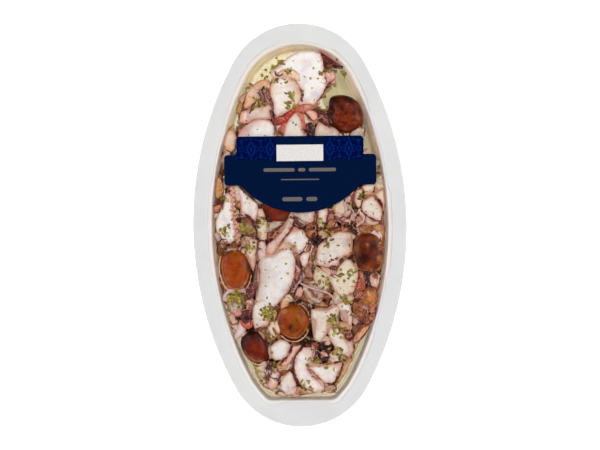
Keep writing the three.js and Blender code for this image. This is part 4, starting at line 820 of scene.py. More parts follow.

# Each olive: x and y, width, tone, how mottled it is and how light its rim is. Then its outline, its pits
# (x, y, radius), its rings of contact, where a highlight is painted (from, to, in degrees) and its stains (x,
# y, radius, red, green, blue, strength).
OLIVES = []
for key, *values in table("""
olive 25.1,59.4 17.6 122,42,10 0.75 0
  outline 17.6,69.2 21,70.2 25.4,70 29.4,68.4 32,66 34,62 34.9,58 34.6,53.6 32,50.2 28,48.7 24,48.9 20.6,51
    18,54 16.4,58 16.2,63 16.6,67
  pits 17.8,62,1.4 22.8,62.6,1.2 28,67.4,1.4
  stains 17.6,66.4,3.4,44,12,22,0.95 17,61,3,40,12,20,0.95 20.8,69,3,62,20,10,0.85 27,68.2,3,44,16,8,0.9
    31,65.2,2.2,70,26,12,0.6 22.9,62.6,1.5,48,10,8,0.9 17.4,56.8,2.2,90,40,30,0.5 34,58,2.2,170,100,64,0.5
    32.6,64,2,168,98,58,0.5 22,50.6,2.4,84,40,10,0.6 32.6,52.6,2.4,92,50,14,0.6 25,58,4,142,56,18,0.4
olive -12.6,10 18 126,44,20 0.1 0
  outline -20.6,12 -18.4,16.4 -14,19 -9,18.4 -5,15.4 -3.2,11 -4.2,6.8 -6.6,3.4 -10,1.3 -13.4,1.4 -16.8,3.6
    -19.6,7.4
  stains -18.6,6,2.6,96,50,26,0.7 -9,2.4,2.6,104,58,36,0.6
olive -34.8,-24 16 168,72,10 0.15 0
  outline -41.2,-14.2 -38,-12.4 -34,-12.2 -31,-13.6 -29,-16.8 -27.4,-21 -26.8,-25.4 -27.6,-30 -29.6,-33.8
    -33,-36 -37,-35.8 -40.4,-33.2 -42.6,-28.6 -43.6,-23 -43.2,-18
  ring 135,345
  stains -36,-14.6,3,146,92,22,0.6 -28.2,-22,2.6,112,62,16,0.85 -41,-30,2.6,176,106,80,0.6
    -34,-33.6,2.4,128,52,22,0.6 -29.2,-31,1.8,190,126,96,0.6 -34,-27,4,178,82,34,0.4 -38,-18,3,154,66,20,0.4
olive 36,-14.4 15.6 122,48,14 0.45 0.75
  outline 31.4,-4.8 35,-3.4 39.6,-3.6 43,-6 45,-10 45.6,-14.6 45,-19.6 43.4,-24 40,-26.4 34.4,-26 30.8,-24.6
    29.2,-20.4 28.2,-16 28.4,-12 29.6,-8
  pits 36.6,-10.6,0.9
  stains 36,-4.4,2.4,70,26,6,0.8 33,-11.2,3,74,16,8,0.7 33.6,-18,3.6,44,8,8,0.92 40.4,-15.6,4.2,84,38,40,0.6
    40,-10.6,2.4,62,22,18,0.7 44,-12,1.8,200,128,88,0.8 43.4,-18.6,1.8,196,124,84,0.8
    29.6,-13,2,150,92,40,0.7 38,-24,2.2,168,90,46,0.7 31,-22,2,70,30,14,0.6 36.6,-10.6,0.7,214,160,96,0.7
    42.6,-7.4,2,150,84,50,0.6
olive -4.6,-52.2 17.6 160,76,16 0.3 0
  outline -11,-44.6 -7.4,-42.8 -3,-42.6 1,-44 3.6,-47.4 4.6,-52 4,-56.4 1.6,-60.4 -2,-62.6 -6.4,-62.4
    -10,-60 -12.8,-56.6 -14,-52 -13.2,-48
  pits -5.4,-55.6,1.1 -3.6,-52,0.9
  ring 145,215 228,335 20,60
  stains -1,-46.6,4.4,156,90,14,0.6 -7,-51,4,166,72,34,0.5 -3.4,-52,1.6,98,74,14,0.75
    -5.4,-55.7,1.3,48,20,6,0.95 -4.4,-57.8,1.6,98,66,14,0.5 -13,-52,1.8,122,74,44,0.6 0,-61,2.4,96,54,22,0.7
    -9.6,-45.4,2,204,150,116,0.5
olive -25.2,-66 15 114,32,10 0.3 0
  outline -30.6,-58.6 -27,-57 -23,-57.4 -20.4,-60 -18.6,-63.6 -17.6,-68 -18,-71.6 -20,-74.2 -23.6,-75
    -27.4,-73.6 -30.4,-70.4 -32.4,-66.4 -32.8,-62
  ring 195,300
  stains -26.6,-58.4,3.4,34,10,16,0.95 -31,-62,3,50,16,28,0.85 -22,-60.2,2.8,44,16,14,0.9
    -31.4,-67,2.4,92,46,38,0.6 -28.4,-73,2.6,188,118,98,0.75 -23,-74.6,2.4,172,102,70,0.65
    -18.4,-66,1.8,98,48,26,0.7 -23,-66,3.4,146,52,34,0.5
"""):
    if key == "olive":
        names = ("place", "width", "tone", "mottle", "light")
        OLIVES.append(dict(zip(names, values), pits=[], ring=[]))
    else:
        OLIVES[-1][key] = values
ON_OLIVES = [(*olive["place"], olive["width"] / 2) for olive in OLIVES]

# Places where the oil lies open, and places where the gaps are deep and dark with painted shade: x, y and
# radius.
POOLS = groups("""
    -21,84,8 -12,91,7 -2,97,5 6,98,4 26,77,8 19,70,4 32,71,5 39,44,6 -38,56,5 34,-70,2 -28,76.5,4.4
    13.6,66.4,3
""")
DEEP_SHADE_GAPS = groups("""
    -24.6,-28.4,3.5 10.9,-9,3 31.3,9.3,2.5 22.7,1,2 35.2,-28.8,3.5 -26,-36.8,3 -28.6,-51.3,3 -15,-62,2
    13,-69,4 -15.4,-74.4,2.5 30.6,-62,3 10.9,53,2 -18.3,71,2 -20,-9,2 -44,-12,3 7,-27,2 6.6,-57,3.2
    2,-64.6,2.6 -27.6,-55.6,2.4 9.4,-73.6,2.6 -8.4,-64.4,1.6
""")


def curve(a, b, c, d, t):
    """The smooth curve from b to c, where a comes before them and d after."""
    return 0.5 * (2 * b + (c - a) * t + (2 * a - 5 * b + 4 * c - d) * t**2 + (3 * b - a - 3 * c + d) * t**3)


def smooth_path(points, steps=6):
    """A smooth open path through the points."""
    points = np.array(points, float)
    padded = np.concatenate([points[:1], points, points[-1:]])
    t = (np.arange(steps) / steps)[:, None]
    rows = [curve(*padded[i : i + 4], t) for i in range(len(points) - 1)]
    return np.concatenate(rows + [points[-1:]])


def area(outline):
    """The area inside a closed outline: less than zero where it runs clockwise."""
    x, y = outline[:, 0], outline[:, 1]
    return np.sum(x * np.roll(y, -1) - y * np.roll(x, -1)) / 2


def smooth_outline(corners, spacing, straight=0.0):
    """A closed clockwise curve through the corners, partly straightened."""
    corners = np.array(corners, float)
    rows = []
    for i in range(len(corners)):
        a, b, c, d = (corners[(i + k) % len(corners)] for k in (-1, 0, 1, 2))
        steps = max(2, int(round(math.hypot(*(c - b)[:2]) / spacing)))
        t = (np.arange(steps) / steps)[:, None]
        rows.append((1 - straight) * curve(a, b, c, d, t) + straight * (b + (c - b) * t))
    outline = np.concatenate(rows)
    return outline if area(outline) < 0 else outline[::-1]


def outward(outline):
    """The outward directions of a clockwise closed outline."""
    ahead = np.roll(outline, -1, axis=0)[:, :2] - np.roll(outline, 1, axis=0)[:, :2]
    ahead /= np.maximum(np.linalg.norm(ahead, axis=1, keepdims=True), 1e-9)
    return np.column_stack([-ahead[:, 1], ahead[:, 0]])


def inside_of(outline, points):
    x, y = points[:, 0][:, None], points[:, 1][:, None]
    ax, ay = outline[:, 0][None], outline[:, 1][None]
    bx, by = np.roll(outline[:, 0], -1)[None], np.roll(outline[:, 1], -1)[None]
    crosses = (ay > y) != (by > y)
    slope = np.where(by == ay, 1e-9, by - ay)
    return np.sum(crosses & (x < (bx - ax) * (y - ay) / slope + ax), axis=1) % 2 == 1


def nearest(outline, points):
    """The distance from each point to the outline, and which of its points is nearest."""
    away = np.hypot(points[:, 0][:, None] - outline[:, 0], points[:, 1][:, None] - outline[:, 1])
    index = np.argmin(away, axis=1)
    return away[np.arange(len(points)), index], index


def stain(tones, points, x, y, radius, rgb, share, spread, power=1.0):
    """Mixes a colour into the tones round a place, out to a spread of its radius."""
    away = np.hypot(points[:, 0] - x, points[:, 1] - y) / radius
    weight = np.minimum(share * np.clip(spread - away, 0, 1) ** power, 1)[:, None]
    return tones * (1 - weight) + np.array(colour(*rgb)) * weight


def border_loops(triangles):
    """The loops of points round a patch of triangles."""
    used = dict.fromkeys(pair for a, b, c in triangles for pair in ((a, b), (b, c), (c, a)))
    follow = dict(pair for pair in used if (pair[1], pair[0]) not in used)
    loops = []
    while follow:
        first, at = next(iter(follow.items()))
        loop = [first]
        del follow[first]
        while at != first and at in follow:
            loop.append(at)
            at = follow.pop(at)
        if at == first and len(loop) > 2:
            loops.append(loop)
    return loops


def add_slice(pile, corners, tone, top, seed, lean, frills=None):
    """One slice: a cut face with soft rounded edges, and sides that go down to what it lies on.

    A slice that shows has frills: beads of skin, in another pile, and stains.
    """
    mesh_size, depth = (1.1, 3.5) if frills else (1.3, 3.0)
    rng = random.Random(seed)
    outline = smooth_outline(corners, mesh_size / 2, 0.6)
    skin = np.clip([k * (1 + 0.5 * rough(a, b, seed, 4.5)) for a, b, k in outline], 0, 3)
    out = outward(outline)
    frill = np.array([
        0.16 * rough(a, b, seed, 3.5) + (0.1 + 0.22 * max(k - 1, 0)) * rough(a, b, seed + 9, 1.3)
        for a, b, k in outline
    ])
    edge_line = outline[:, :2] + out * frill[:, None]
    count = len(edge_line)
    k = rng.randint(0, 3)
    while frills and k < count:
        if skin[k] > 1.8 and rough(*edge_line[k], seed, 9) > 0.12 and rng.random() < 0.5:
            a, b = edge_line[k] + out[k] * rng.uniform(-0.2, 0.6)
            hue = rng.choice(("maroon dark plum" if skin[k] > 2.2 else "plum rose maroon plum").split())
            add_lump(frills, a, b, top - rng.uniform(0.5, 1.3), rng.uniform(0.7, 1.5), hue, rng)
        k += rng.randint(2, 4)
    middle = edge_line.mean(axis=0)
    size = math.sqrt(abs(area(edge_line)))
    round_over = min(1.5, 0.2 * size + 0.15)
    points = [edge_line]
    for step, inset in enumerate((0.25, 0.55, 0.95, 1.5)):
        if inset > 0.3 * size:
            break
        ring = edge_line[:: 1 + step // 2] - out[:: 1 + step // 2] * inset
        away, _ = nearest(edge_line, ring)
        points.append(ring[(away > 0.9 * inset) & inside_of(edge_line, ring)])
    low, high = edge_line.min(axis=0), edge_line.max(axis=0)
    grid = np.array([
        (x + rng.uniform(-0.25, 0.25) * mesh_size, y + rng.uniform(-0.25, 0.25) * mesh_size)
        for x in np.arange(low[0], high[0], mesh_size) for y in np.arange(low[1], high[1], mesh_size)
    ]).reshape(-1, 2)
    if len(grid):
        away, _ = nearest(edge_line, grid)
        points.append(grid[(away > 2.0) & inside_of(edge_line, grid)])
    corners = [Vector(p) for p in np.concatenate(points)]
    result = delaunay_2d_cdt(corners, [], [list(range(count - 1, -1, -1))], 1, 1e-4, False)
    flat = np.array([(v.x, v.y) for v in result[0]])
    faces = [list(f) for f in result[2]]
    away, index = nearest(edge_line, flat)
    away = np.where(away < 0.02, 0, away)
    left = np.clip(away / round_over, 0, 1)
    fall = round_over * 0.85 * (1 - np.sqrt(1 - (1 - left) ** 2))
    lumps = np.array([0.4 * rough(a, b, seed, 7) + 0.2 * rough(a, b, seed, 2.4) for a, b in flat])
    height = top + lumps - fall + lean[0] * (flat[:, 0] - middle[0]) + lean[1] * (flat[:, 1] - middle[1])
    face = np.column_stack([flat, np.clip(height, 2.4, UNDER_FILM)])
    rows, edges, skins, start = [face], [away], [skin[index]], len(face)
    for loop in border_loops(faces):
        total, rim = len(loop), face[loop]
        _, near = nearest(edge_line, rim[:, :2])
        for down, shrink in ((0.5, -0.06), (1.4, 0.0), (depth, 0.35)):
            row = rim.copy()
            row[:, :2] -= out[near] * shrink
            row[:, 2] = np.maximum(rim[:, 2] - down, 1.95 + 0.01 * (3.5 - down))
            rows.append(row)
            edges.append(np.full(total, -0.15))
            skins.append(skin[near])
            below = list(range(start, start + total))
            faces += [[loop[k + 1 - total], loop[k], below[k], below[k + 1 - total]] for k in range(total)]
            loop, start = below, start + total
        faces.append(loop[::-1])
    points = held(np.concatenate(rows))
    tones = np.tile(np.array(colour(*TONES[tone])) * rng.uniform(0.95, 1.03), (len(points), 1))
    for hue, x, y, radius, share in STAINS if frills else ():
        if abs(x - middle[0]) <= 30 and abs(y - middle[1]) <= 30:
            tones = stain(tones, points, x, y, radius, TONES[hue], share, 1.3, 0.8)
    pile.add(points, faces, tone=tones, edge=np.concatenate(edges), skin=np.concatenate(skins),
             blotch=BLOTCHED[tone])


def turned(x, y, bearing, across, along):
    """A place beside x and y, for a bearing in radians clockwise from the y axis."""
    return (x + math.sin(bearing) * along + math.cos(bearing) * across,
            y + math.cos(bearing) * along - math.sin(bearing) * across)


def shard(rng, x, y, length, width, bearing):
    """The corners of an uneven torn piece, with more or less skin from corner to corner."""
    corners, count = [], rng.randint(6, 9)
    for k in range(count):
        angle = -2 * math.pi * (k + rng.uniform(-0.3, 0.3)) / count
        reach = rng.uniform(0.62, 1.15)
        across, along = math.cos(angle) * width / 2 * reach, -math.sin(angle) * length / 2 * reach
        place = turned(x, y, math.radians(bearing), across, along)
        corners.append((*place, rng.choice((0, 0.6, 1, 1, 1.6, 2.3))))
    return corners


def add_rings(pile, place, radius, rings, ends, squeeze, bearing, tilt, sides, tone, **marks):
    """A small round body: rings and ends at shares of its radius, squeezed, turned and tilted."""
    x, y, z = place
    turn = 2 * np.pi * np.arange(sides) / sides
    rows = []
    for share, height in rings:
        a, b = np.cos(turn) * share * radius, -np.sin(turn) * share * radius * squeeze
        px = a * math.cos(bearing) - b * math.sin(bearing)
        py = a * math.sin(bearing) + b * math.cos(bearing)
        rows.append(np.column_stack([x + px, y + py, z + height * radius + tilt[0] * px + tilt[1] * py]))
    points = held(np.concatenate(rows + [[[x, y, z + end * radius]] for end in ends]))
    pile.add(points, closed_faces(len(rings), sides), tone=colour(*TONES[tone]), **marks)


def add_cup(pile, x, y, z, size, tone, rng, lean=0.35, skin=1.9):
    """A sucker: a small ring with a hollow middle."""
    sides = 14
    rings = [(1.0, -1.3), (1.08, -0.3), (1.05, 0.1), (0.86, 0.3), (0.62, 0.2), (0.42, -0.12), (0.2, -0.22)]
    edges = [0.1] * 3 + [1.4] * 2 + [0.2] * 2
    squeeze, bearing = rng.uniform(0.75, 1.0), rng.uniform(0, 6.3)
    tilt = (rng.uniform(-lean, lean), rng.uniform(-lean, lean))
    add_rings(pile, (x, y, z), size / 2, rings, (-1.5, -0.25), squeeze, bearing, tilt, sides, tone,
              edge=np.concatenate([np.repeat(edges, sides), [0.2, 0.2]]), skin=skin, blotch=0.5)


def add_lump(pile, x, y, z, size, tone, rng):
    """A small bead of skin."""
    rings = [(0.75, -0.6), (1.0, 0.0), (0.75, 0.55)]
    squeeze, bearing = rng.uniform(0.55, 1.0), rng.uniform(0, 6.3)
    add_rings(pile, (x, y, z), size / 2, rings, (-1.0, 0.84), squeeze, bearing, (0, 0), 7, tone, edge=3.0,
              skin=0.0, blotch=0.6)


def tube(path, thickness, taper, sides=8):
    """A string along a path, thinner to its end: its points, its faces, and how far up each point is."""
    path = np.asarray(path, float)
    count = len(path)
    forward = np.gradient(path, axis=0)
    forward /= np.maximum(np.linalg.norm(forward, axis=1, keepdims=True), 1e-6)
    aside = np.cross(forward, (0, 0, 1.0))
    aside /= np.maximum(np.linalg.norm(aside, axis=1, keepdims=True), 1e-6)
    up = np.cross(aside, forward)
    turn = 2 * np.pi * np.arange(sides) / sides
    rows = []
    for i in range(count):
        radius = thickness / 2 * (1 - taper * i / (count - 1)) * (0.45 if i in (0, count - 1) else 1)
        rows.append(path[i] + radius * (np.cos(turn)[:, None] * aside[i] + np.sin(turn)[:, None] * up[i]))
    points = held(np.concatenate(rows + [path[:1], path[-1:]]))
    return points, closed_faces(count, sides), np.concatenate([np.tile(np.sin(turn), count), [0, 0]])


def add_curl(pile, path, thickness, tone, skin, taper=0.55):
    """A thin arm tip or a curled strip of skin along a path of points."""
    points, faces, up = tube(path, thickness, taper)
    pile.add(points, faces, tone=colour(*TONES[tone]), edge=0.25 + np.maximum(up, 0), skin=skin, blotch=0.5)


def random_curl(rng, x, y, z, reach):
    """A path that curls one way from a place, of a given length."""
    steps = 12
    bearing, bend = rng.uniform(0, 6.3), rng.choice((-1, 1)) * rng.uniform(1.2, 4.2)
    path = [(x, y, z)]
    for _ in range(steps):
        bearing += bend / steps
        x, y = x + math.cos(bearing) * reach / steps, y + math.sin(bearing) * reach / steps
        z += rng.uniform(-0.12, 0.12)
        path.append((x, y, z))
    return path


def make_core():
    """What lies under the pieces: a lumpy bed of octopus, dark as painted shade between the pieces, with gaps
    where the oil lies open.
    """
    step, gap, height_here = 1.5, 5.2, 9.4  # its grid, its distance to the well's rim, and its height
    kept, points, tones = {}, [], []
    for i, x in enumerate(np.arange(-45, 45.1, step)):
        for j, y in enumerate(np.arange(-96, 96.1, step)):
            inset = room(x, y)
            depth = min(math.hypot(x - px, y - py) - radius for px, py, radius in POOLS)
            if inset < gap or depth < -1.0:
                continue
            deep = max(min(1, 1.5 - math.hypot(x - px, y - py) / radius) for px, py, radius in DEEP_SHADE_GAPS)
            height = height_here + 0.7 * rough(x, y, 1, 5) + 0.5 * rough(x, y, 2, 2) - 2.5 * max(0, deep)
            height = min(height, 2.4 + 3.2 * (inset - 4.9), max(2.2, 2.4 + 2.2 * (depth + 1.0)))
            kept[i, j] = len(points)
            points.append((x, y, height))
            # painted shade: the bed is mostly dark, darker still in the deep gaps, with random lighter
            # patches and paler by the pools
            share = min(1, max(0, 0.12 + 1.3 * rough(x, y, 3, 4) - 1.2 * max(0, deep), 1.0 - 0.4 * depth))
            light = TONES["clay" if depth > 2 else "pale"]
            tones.append(colour(*(TONES["dark"][k] * (1 - share) + light[k] * share for k in range(3))))
    total = len(points)
    squares = (((i, j), (i + 1, j), (i + 1, j + 1), (i, j + 1)) for i, j in kept)
    cells = [[kept[corner] for corner in square] for square in squares if all(c in kept for c in square)]
    used = {pair for a, b, c, d in cells for pair in ((a, b), (b, c), (c, d), (d, a))}
    faces = cells + [[k + total for k in reversed(cell)] for cell in cells]
    faces += [[b, a, a + total, b + total] for a, b in used if (b, a) not in used]
    pile = Pile("tone", "edge", "skin", "blotch")
    points += [(x, y, BED_Z) for x, y, _ in points]
    pile.add(points, faces, tone=tones + tones, edge=3.0, skin=0.0, blotch=1.0)
    return pile.make("octopus_bed", FLESH, "octopus")


def free(x, y, inset, from_pools, from_olives):
    """Whether a place is inside the well and off the pools and the olives."""
    taken = within(POOLS, x, y, from_pools) or within(ON_OLIVES, x, y, from_olives)
    return room(x, y, inset) > 0 and not taken


def add_low_pieces(low, rng):
    """Torn pieces that fill the gaps between the slices, along the wall and all over."""
    spots, across, along, loose = [], 6.4, 6.3, 2.4
    for row in range(-15, 16):
        for column in range(-7, 8):
            x = column * across + (across / 2 if row % 2 else 0) + rng.uniform(-loose, loose)
            y = row * along + rng.uniform(-loose, loose)
            if free(x, y, 4.5, 2.0, 1.0) and not within(DEEP_SHADE_GAPS, x, y, 1.5):
                spots.append((x, y))
    dx, dy = directions(96)
    reach = reach_to_well(dx, dy, 3.6) - np.where(dy < -0.85, 3.2, 0)
    edge = np.column_stack([dx * reach, dy * reach])
    for i, (x, y) in enumerate(edge):
        if within(POOLS, x, y, 0.6) or within(ON_OLIVES, x, y, 0.3) or (x > 0 and y > 28):
            continue
        bearing = math.degrees(math.atan2(*(edge[i] - edge[i - 1])))
        corners = shard(rng, x, y, rng.uniform(6, 11), rng.uniform(3.4, 4.8), bearing + rng.uniform(-12, 12))
        tone = rng.choice("cream bone straw cream pale".split() if y < -52 or y > 36 else
                          "clay mauve tan salmon rose pink brown grey".split())
        add_slice(low, corners, tone, rng.uniform(8.2, 9.8), 800 + i, (0, 0))
    palette = "pink cream grey pale lilac pale cream grey salmon pink tan mauve cream clay grey".split()
    for i, (x, y) in enumerate(spots):
        corners = shard(rng, x, y, rng.uniform(8, 15), rng.uniform(4.5, 8.5), rng.uniform(0, 360))
        tone = rng.choice(palette if y > -82 else "pale bone cream shell".split())
        add_slice(low, corners, tone, rng.uniform(9.6, 10.9), 500 + i,
                  (rng.uniform(-0.07, 0.07), rng.uniform(-0.07, 0.07)))
    return spots


def add_suckers(small, rng, spots):
    """Clumps of suckers and curled tips, the row of suckers on the left, edgings, curls and strands."""
    for tone, x, y, size, count in CLUMPS:
        for k in range(int(count)):
            away, bearing = rng.uniform(0, size / 2), rng.uniform(0, 6.3)
            a, b = x + away * math.cos(bearing), y + away * math.sin(bearing)
            if k % 2:
                add_cup(small, a, b, rng.uniform(11.2, 12.1), rng.uniform(1.3, 2.4), tone, rng)
            else:
                path = random_curl(rng, a, b, rng.uniform(11.3, 12.1), rng.uniform(3.5, 7))
                add_curl(small, path, rng.uniform(0.6, 1.1), tone, 1.8)
    along = np.linspace(0, 1, 16)
    row = [(-36.4 + 3.0 * k - 1.2 * math.sin(3 * k), 20.4 - 30 * k, 10.5) for k in along]
    add_curl(small, row, 2.6, "rose", 1.2, taper=0.3)
    for i in range(25):
        share = i / 24
        x, y = np.interp(share, along, [place[0] for place in row]), 20 - 29 * share
        size = rng.uniform(1.5, 1.9) - 0.4 * share
        x += (0.7 if i % 2 else -0.5) * rng.uniform(0.7, 1.2)
        add_cup(small, x, y, 12.1, size, "blush", rng, 0.3, skin=1.2)
    for tone, size, *path in table(EDGINGS):
        for x, y in smooth_path(path, 3):
            add_cup(small, x + rng.uniform(-0.4, 0.4), y + rng.uniform(-0.4, 0.4), rng.uniform(11.5, 12.1),
                    size * rng.uniform(0.75, 1.2), tone, rng, 0.5, skin=2.1)
    for x, y in spots:
        if rng.random() < 0.6:
            a, b = x + rng.uniform(-3, 3), y + rng.uniform(-3, 3)
            tone = rng.choice("mauve rose maroon maroon dark plum plum".split())
            path = random_curl(rng, a, b, rng.uniform(9.8, 10.9), rng.uniform(3, 9))
            add_curl(small, path, rng.uniform(0.4, 0.9), tone, 1.8)
    for tone, thickness, *path in table(STRANDS):
        add_curl(small, smooth_path(filled(path)), thickness, tone, 1.6, taper=0.3)


def make_octopus():
    top, low, small = (Pile("tone", "edge", "skin", "blotch") for _ in range(3))
    for i, (tone, height, *corners) in enumerate(table(SLICES)):
        rng = random.Random(900 + i)
        lean = (rng.uniform(-0.03, 0.03), rng.uniform(-0.03, 0.03))
        add_slice(top, filled(corners), tone, height, i + 1, lean, frills=small)
    rng = random.Random(5)
    add_suckers(small, rng, add_low_pieces(low, rng))
    return [
        top.make("octopus_slices", FLESH, "octopus", replaces=["octopus"]),
        low.make("octopus_pieces", FLESH, "octopus"),
        small.make("octopus_suckers", FLESH, "octopus"),
    ]


# ---------------------------------------------------------------- olives

OLIVE_ROWS = 34
OLIVE_MIDDLE, OLIVE_HALF_HEIGHT = 7.6, 4.75


def make_olive(index, olive, material):
    pile = Pile("tone", "edge", "rim", "mottle")
    outline = smooth_outline(olive["outline"], 1.0)
    sides, centre = len(outline), outline.mean(axis=0)
    bearings = np.degrees(np.arctan2(outline[:, 1] - centre[1], outline[:, 0] - centre[0]))

    def off(bearing):
        return np.abs((bearings - bearing + 180) % 360 - 180)

    lit = np.zeros(sides)  # where the painted highlight of the ring of contact shows
    for start, stop in olive["ring"]:
        lit = np.maximum(lit, np.clip(((stop - start) / 2 + 8 - off((start + stop) / 2)) / 16, 0, 1))
    rows, edges, rim_shades = [], [], []
    for i in range(OLIVE_ROWS):
        lat = math.radians(-86 + 172 * i / (OLIVE_ROWS - 1))
        share = math.cos(lat) ** 0.55
        flat = centre + (outline - centre) * share
        flat += (flat - centre) * np.array([[0.025 * rough(a, b, lat * 8 + index * 20, 4)] for a, b in flat])
        z = OLIVE_MIDDLE + OLIVE_HALF_HEIGHT * math.sin(lat)
        height = np.array([z + 0.22 * rough(a, b, index, 3) + 0.1 * rough(a, b, index, 1.2) for a, b in flat])
        for px, py, radius in olive["pits"] if lat > 0 else ():
            height -= 1.1 * np.clip(1.3 - np.hypot(flat[:, 0] - px, flat[:, 1] - py) / radius, 0, 1)
        rows.append(np.column_stack([flat, np.minimum(height, 12.5)]))
        edges.append(lit * np.interp(share, [0.79, 0.84, 0.89], [0, 0.85, 0])
                     + olive["light"] * np.interp(share, [0.84, 0.96], [0, 1]))
        # painted shade: darker towards the rim, more so by the ring of contact, and all over the underside
        rim = (0.5 + 0.5 * lit) * np.interp(share, [0.7, 0.92, 1.0], [0, 0.8, 1])
        rim_shades.append(rim if lat > 0 else np.ones(sides))
    points = held(np.concatenate(rows + [[[*centre, rows[0][0, 2]], [*centre, rows[-1][0, 2]]]]))
    tones = np.tile(np.array(colour(*olive["tone"])), (len(points), 1))
    for x, y, radius, *rgb, share in olive["stains"]:
        tones = stain(tones, points, x, y, radius, rgb, share, 1.5)
    pile.add(points, closed_faces(OLIVE_ROWS, sides), tone=tones, edge=np.concatenate(edges + [[0, 0]]),
             rim=np.concatenate(rim_shades + [[1, 0]]), mottle=olive["mottle"])
    # pale tubes round the olive: a painted highlight of the ring where the film and the oil meet it
    for start, stop in olive["ring"]:
        path = []
        for t in np.radians(np.linspace(start, stop, max(8, int(abs(stop - start) / 5)))):
            near = outline[np.argmin(off(math.degrees(t)))] - centre
            place = centre + near * (1 + 0.3 / np.hypot(*near))
            path.append((*place, 11.0 + 0.4 * rough(t * 5, index, 0, 2)))
        points, faces, _ = tube(path, 0.55, 0.3, 6)
        pile.add(points, faces, tone=colour(246, 204, 168), edge=0.0, rim=0.0, mottle=0.0)
    slot = "olive_brown" if index in (2, 4) else "olive_dark"
    return pile.make(f"olive_fruit_{index + 1}", material, slot, replaces=[f"olive_{index + 1}"])


# ---------------------------------------------------------------- oil, film and label


def make_oil():
    """The oil fills the well up to its level and reaches just into the wall."""
    sides, below = 240, 5
    dx, dy = directions(sides)
    rows = []
    for inset, z in ((4.5, 0.55), (3.5, 1.7), (1.75, 7.5), (1.0, 8.0), (0.75, 9.0)):
        rows.append(row_at(dx, dy, reach_to_well(dx, dy, inset), z))
    for share in np.linspace(0.99, 0.03, 40):
        row = row_at(dx, dy, reach_to_well(dx, dy, 0.85) * share, 0.0)
        row[:, 2] = [OIL_LEVEL + 0.12 * rough(a, b, 0, 8) for a, b, _ in row]
        rows.append(row)
    pile = Pile()
    pile.add(np.concatenate(rows + [[[0, 0, 0.55], [0, 0, OIL_LEVEL]]]), closed_faces(len(rows), sides))
    top = clear_material("oil_top", colour(248, 242, 217), 0.9, 0.06, 0.015, 9.0)
    oil = pile.make("oil", top, "marinade", replaces=["marinade"])
    second_below(oil, clear_material("oil_side", colour(254, 254, 250)), len(rows), sides, below)


def make_film():
    sides, tint = 240, (0.995, 0.995, 0.995)
    dx, dy = directions(sides)
    low, top = FILM_PANEL, FLANGE_TOP
    path = [*on("well", (14, low), (3.2, low), (1.6, low + 0.06), (-0.6, low + 0.5), (-2.2, top)),
            ("well", -3.0, top + 0.03), ("flange", 1.0, top + 0.03)]
    upper = [(kind, inset, min(z + FILM_THICKNESS, FILM_TOP)) for kind, inset, z in reversed(path)]
    rows = [row_at(dx, dy, reach_to(kind, dx, dy, inset), z) for kind, inset, z in path + upper]
    pile = Pile()
    ends = [[0, 0, FILM_PANEL], [0, 0, FILM_PANEL + FILM_THICKNESS]]
    pile.add(np.concatenate(rows + [ends]), closed_faces(len(rows), sides))
    film = pile.make("film_sheet", clear_material("film_clear", tint, 0.6, 0.12, 0.008), "film", sharp=40,
                     replaces=["film"])
    second_below(film, clear_material("film_under", tint), len(rows), sides, len(path))


LABEL_X = 0.4
LABEL_BASE = FILM_PANEL + FILM_THICKNESS
PAPER = 0.16


def arc(cx, cy, start, end, radius=2.0, steps=8):
    """Points of an arc anticlockwise from one bearing to another, in degrees."""
    bearings = [math.radians(a) for a in np.linspace(start, end, steps)]
    return [(cx + radius * math.cos(a), cy + radius * math.sin(a)) for a in bearings]


def label_outline():
    """The label's outline, anticlockwise from the lower left of its wings."""
    wing, shoulder, low, step, high, bottom = 41.1, 34.3, 21.6, 38.1, 48.1, 6.7
    half, drop = 32.2, low - bottom
    radius = (half**2 + drop**2) / (2 * drop)
    span = math.degrees(math.asin(half / radius))
    points = [
        *arc(-wing + 2, low + 2, 180, 270),
        *arc(0, bottom + radius, 270 - span, 270 + span, radius, 60),
        *arc(wing - 2, low + 2, 270, 360),
        *arc(wing - 2, step - 2, 0, 90),
        (shoulder, step),
        *arc(shoulder - 2, high - 2, 0, 90),
        *arc(-shoulder + 2, high - 2, 90, 180),
        (-shoulder, step),
        *arc(-wing + 2, step - 2, 90, 180),
    ]
    return [(x + LABEL_X, y) for x, y in points]


def flat_piece(name, outlines, z, thickness, material, replaces=()):
    """Flat closed plates, one for each outline, at a height."""
    mesh = bmesh.new()
    for outline in outlines:
        low = [mesh.verts.new((x * MM, y * MM, z * MM)) for x, y in outline]
        high = [mesh.verts.new((x * MM, y * MM, (z + thickness) * MM)) for x, y in outline]
        mesh.faces.new(low[::-1])
        mesh.faces.new(high)
        for i in range(len(outline)):
            j = (i + 1) % len(outline)
            mesh.faces.new((low[i], low[j], high[j], high[i]))
    bmesh.ops.triangulate(mesh, faces=[f for f in mesh.faces if len(f.verts) > 4])
    data = bpy.data.meshes.new(name)
    mesh.to_mesh(data)
    mesh.free()
    return link(name, data, material, replaces)


def rectangle(x0, y0, x1, y1):
    return [(x0, y0), (x1, y0), (x1, y1), (x0, y1)]


def leaf(cx, cy, half_length, half_width, turn):
    """A pointed oval: two arcs that meet at its tips."""
    c, s = math.cos(turn), math.sin(turn)
    upper = [(half_length * u, half_width * (1 - u * u)) for u in np.linspace(-1, 1, 6)]
    lower = [(u, -v) for u, v in reversed(upper[1:-1])]
    return [(cx + u * c - v * s, cy + u * s + v * c) for u, v in reversed(upper + lower)]


def bar(x0, y0, x1, y1):
    """A bar with round ends."""
    r = (y1 - y0) / 2
    return arc(x0 + r, y0 + r, 90, 270, r, 7) + arc(x1 - r, y0 + r, -90, 90, r, 7)


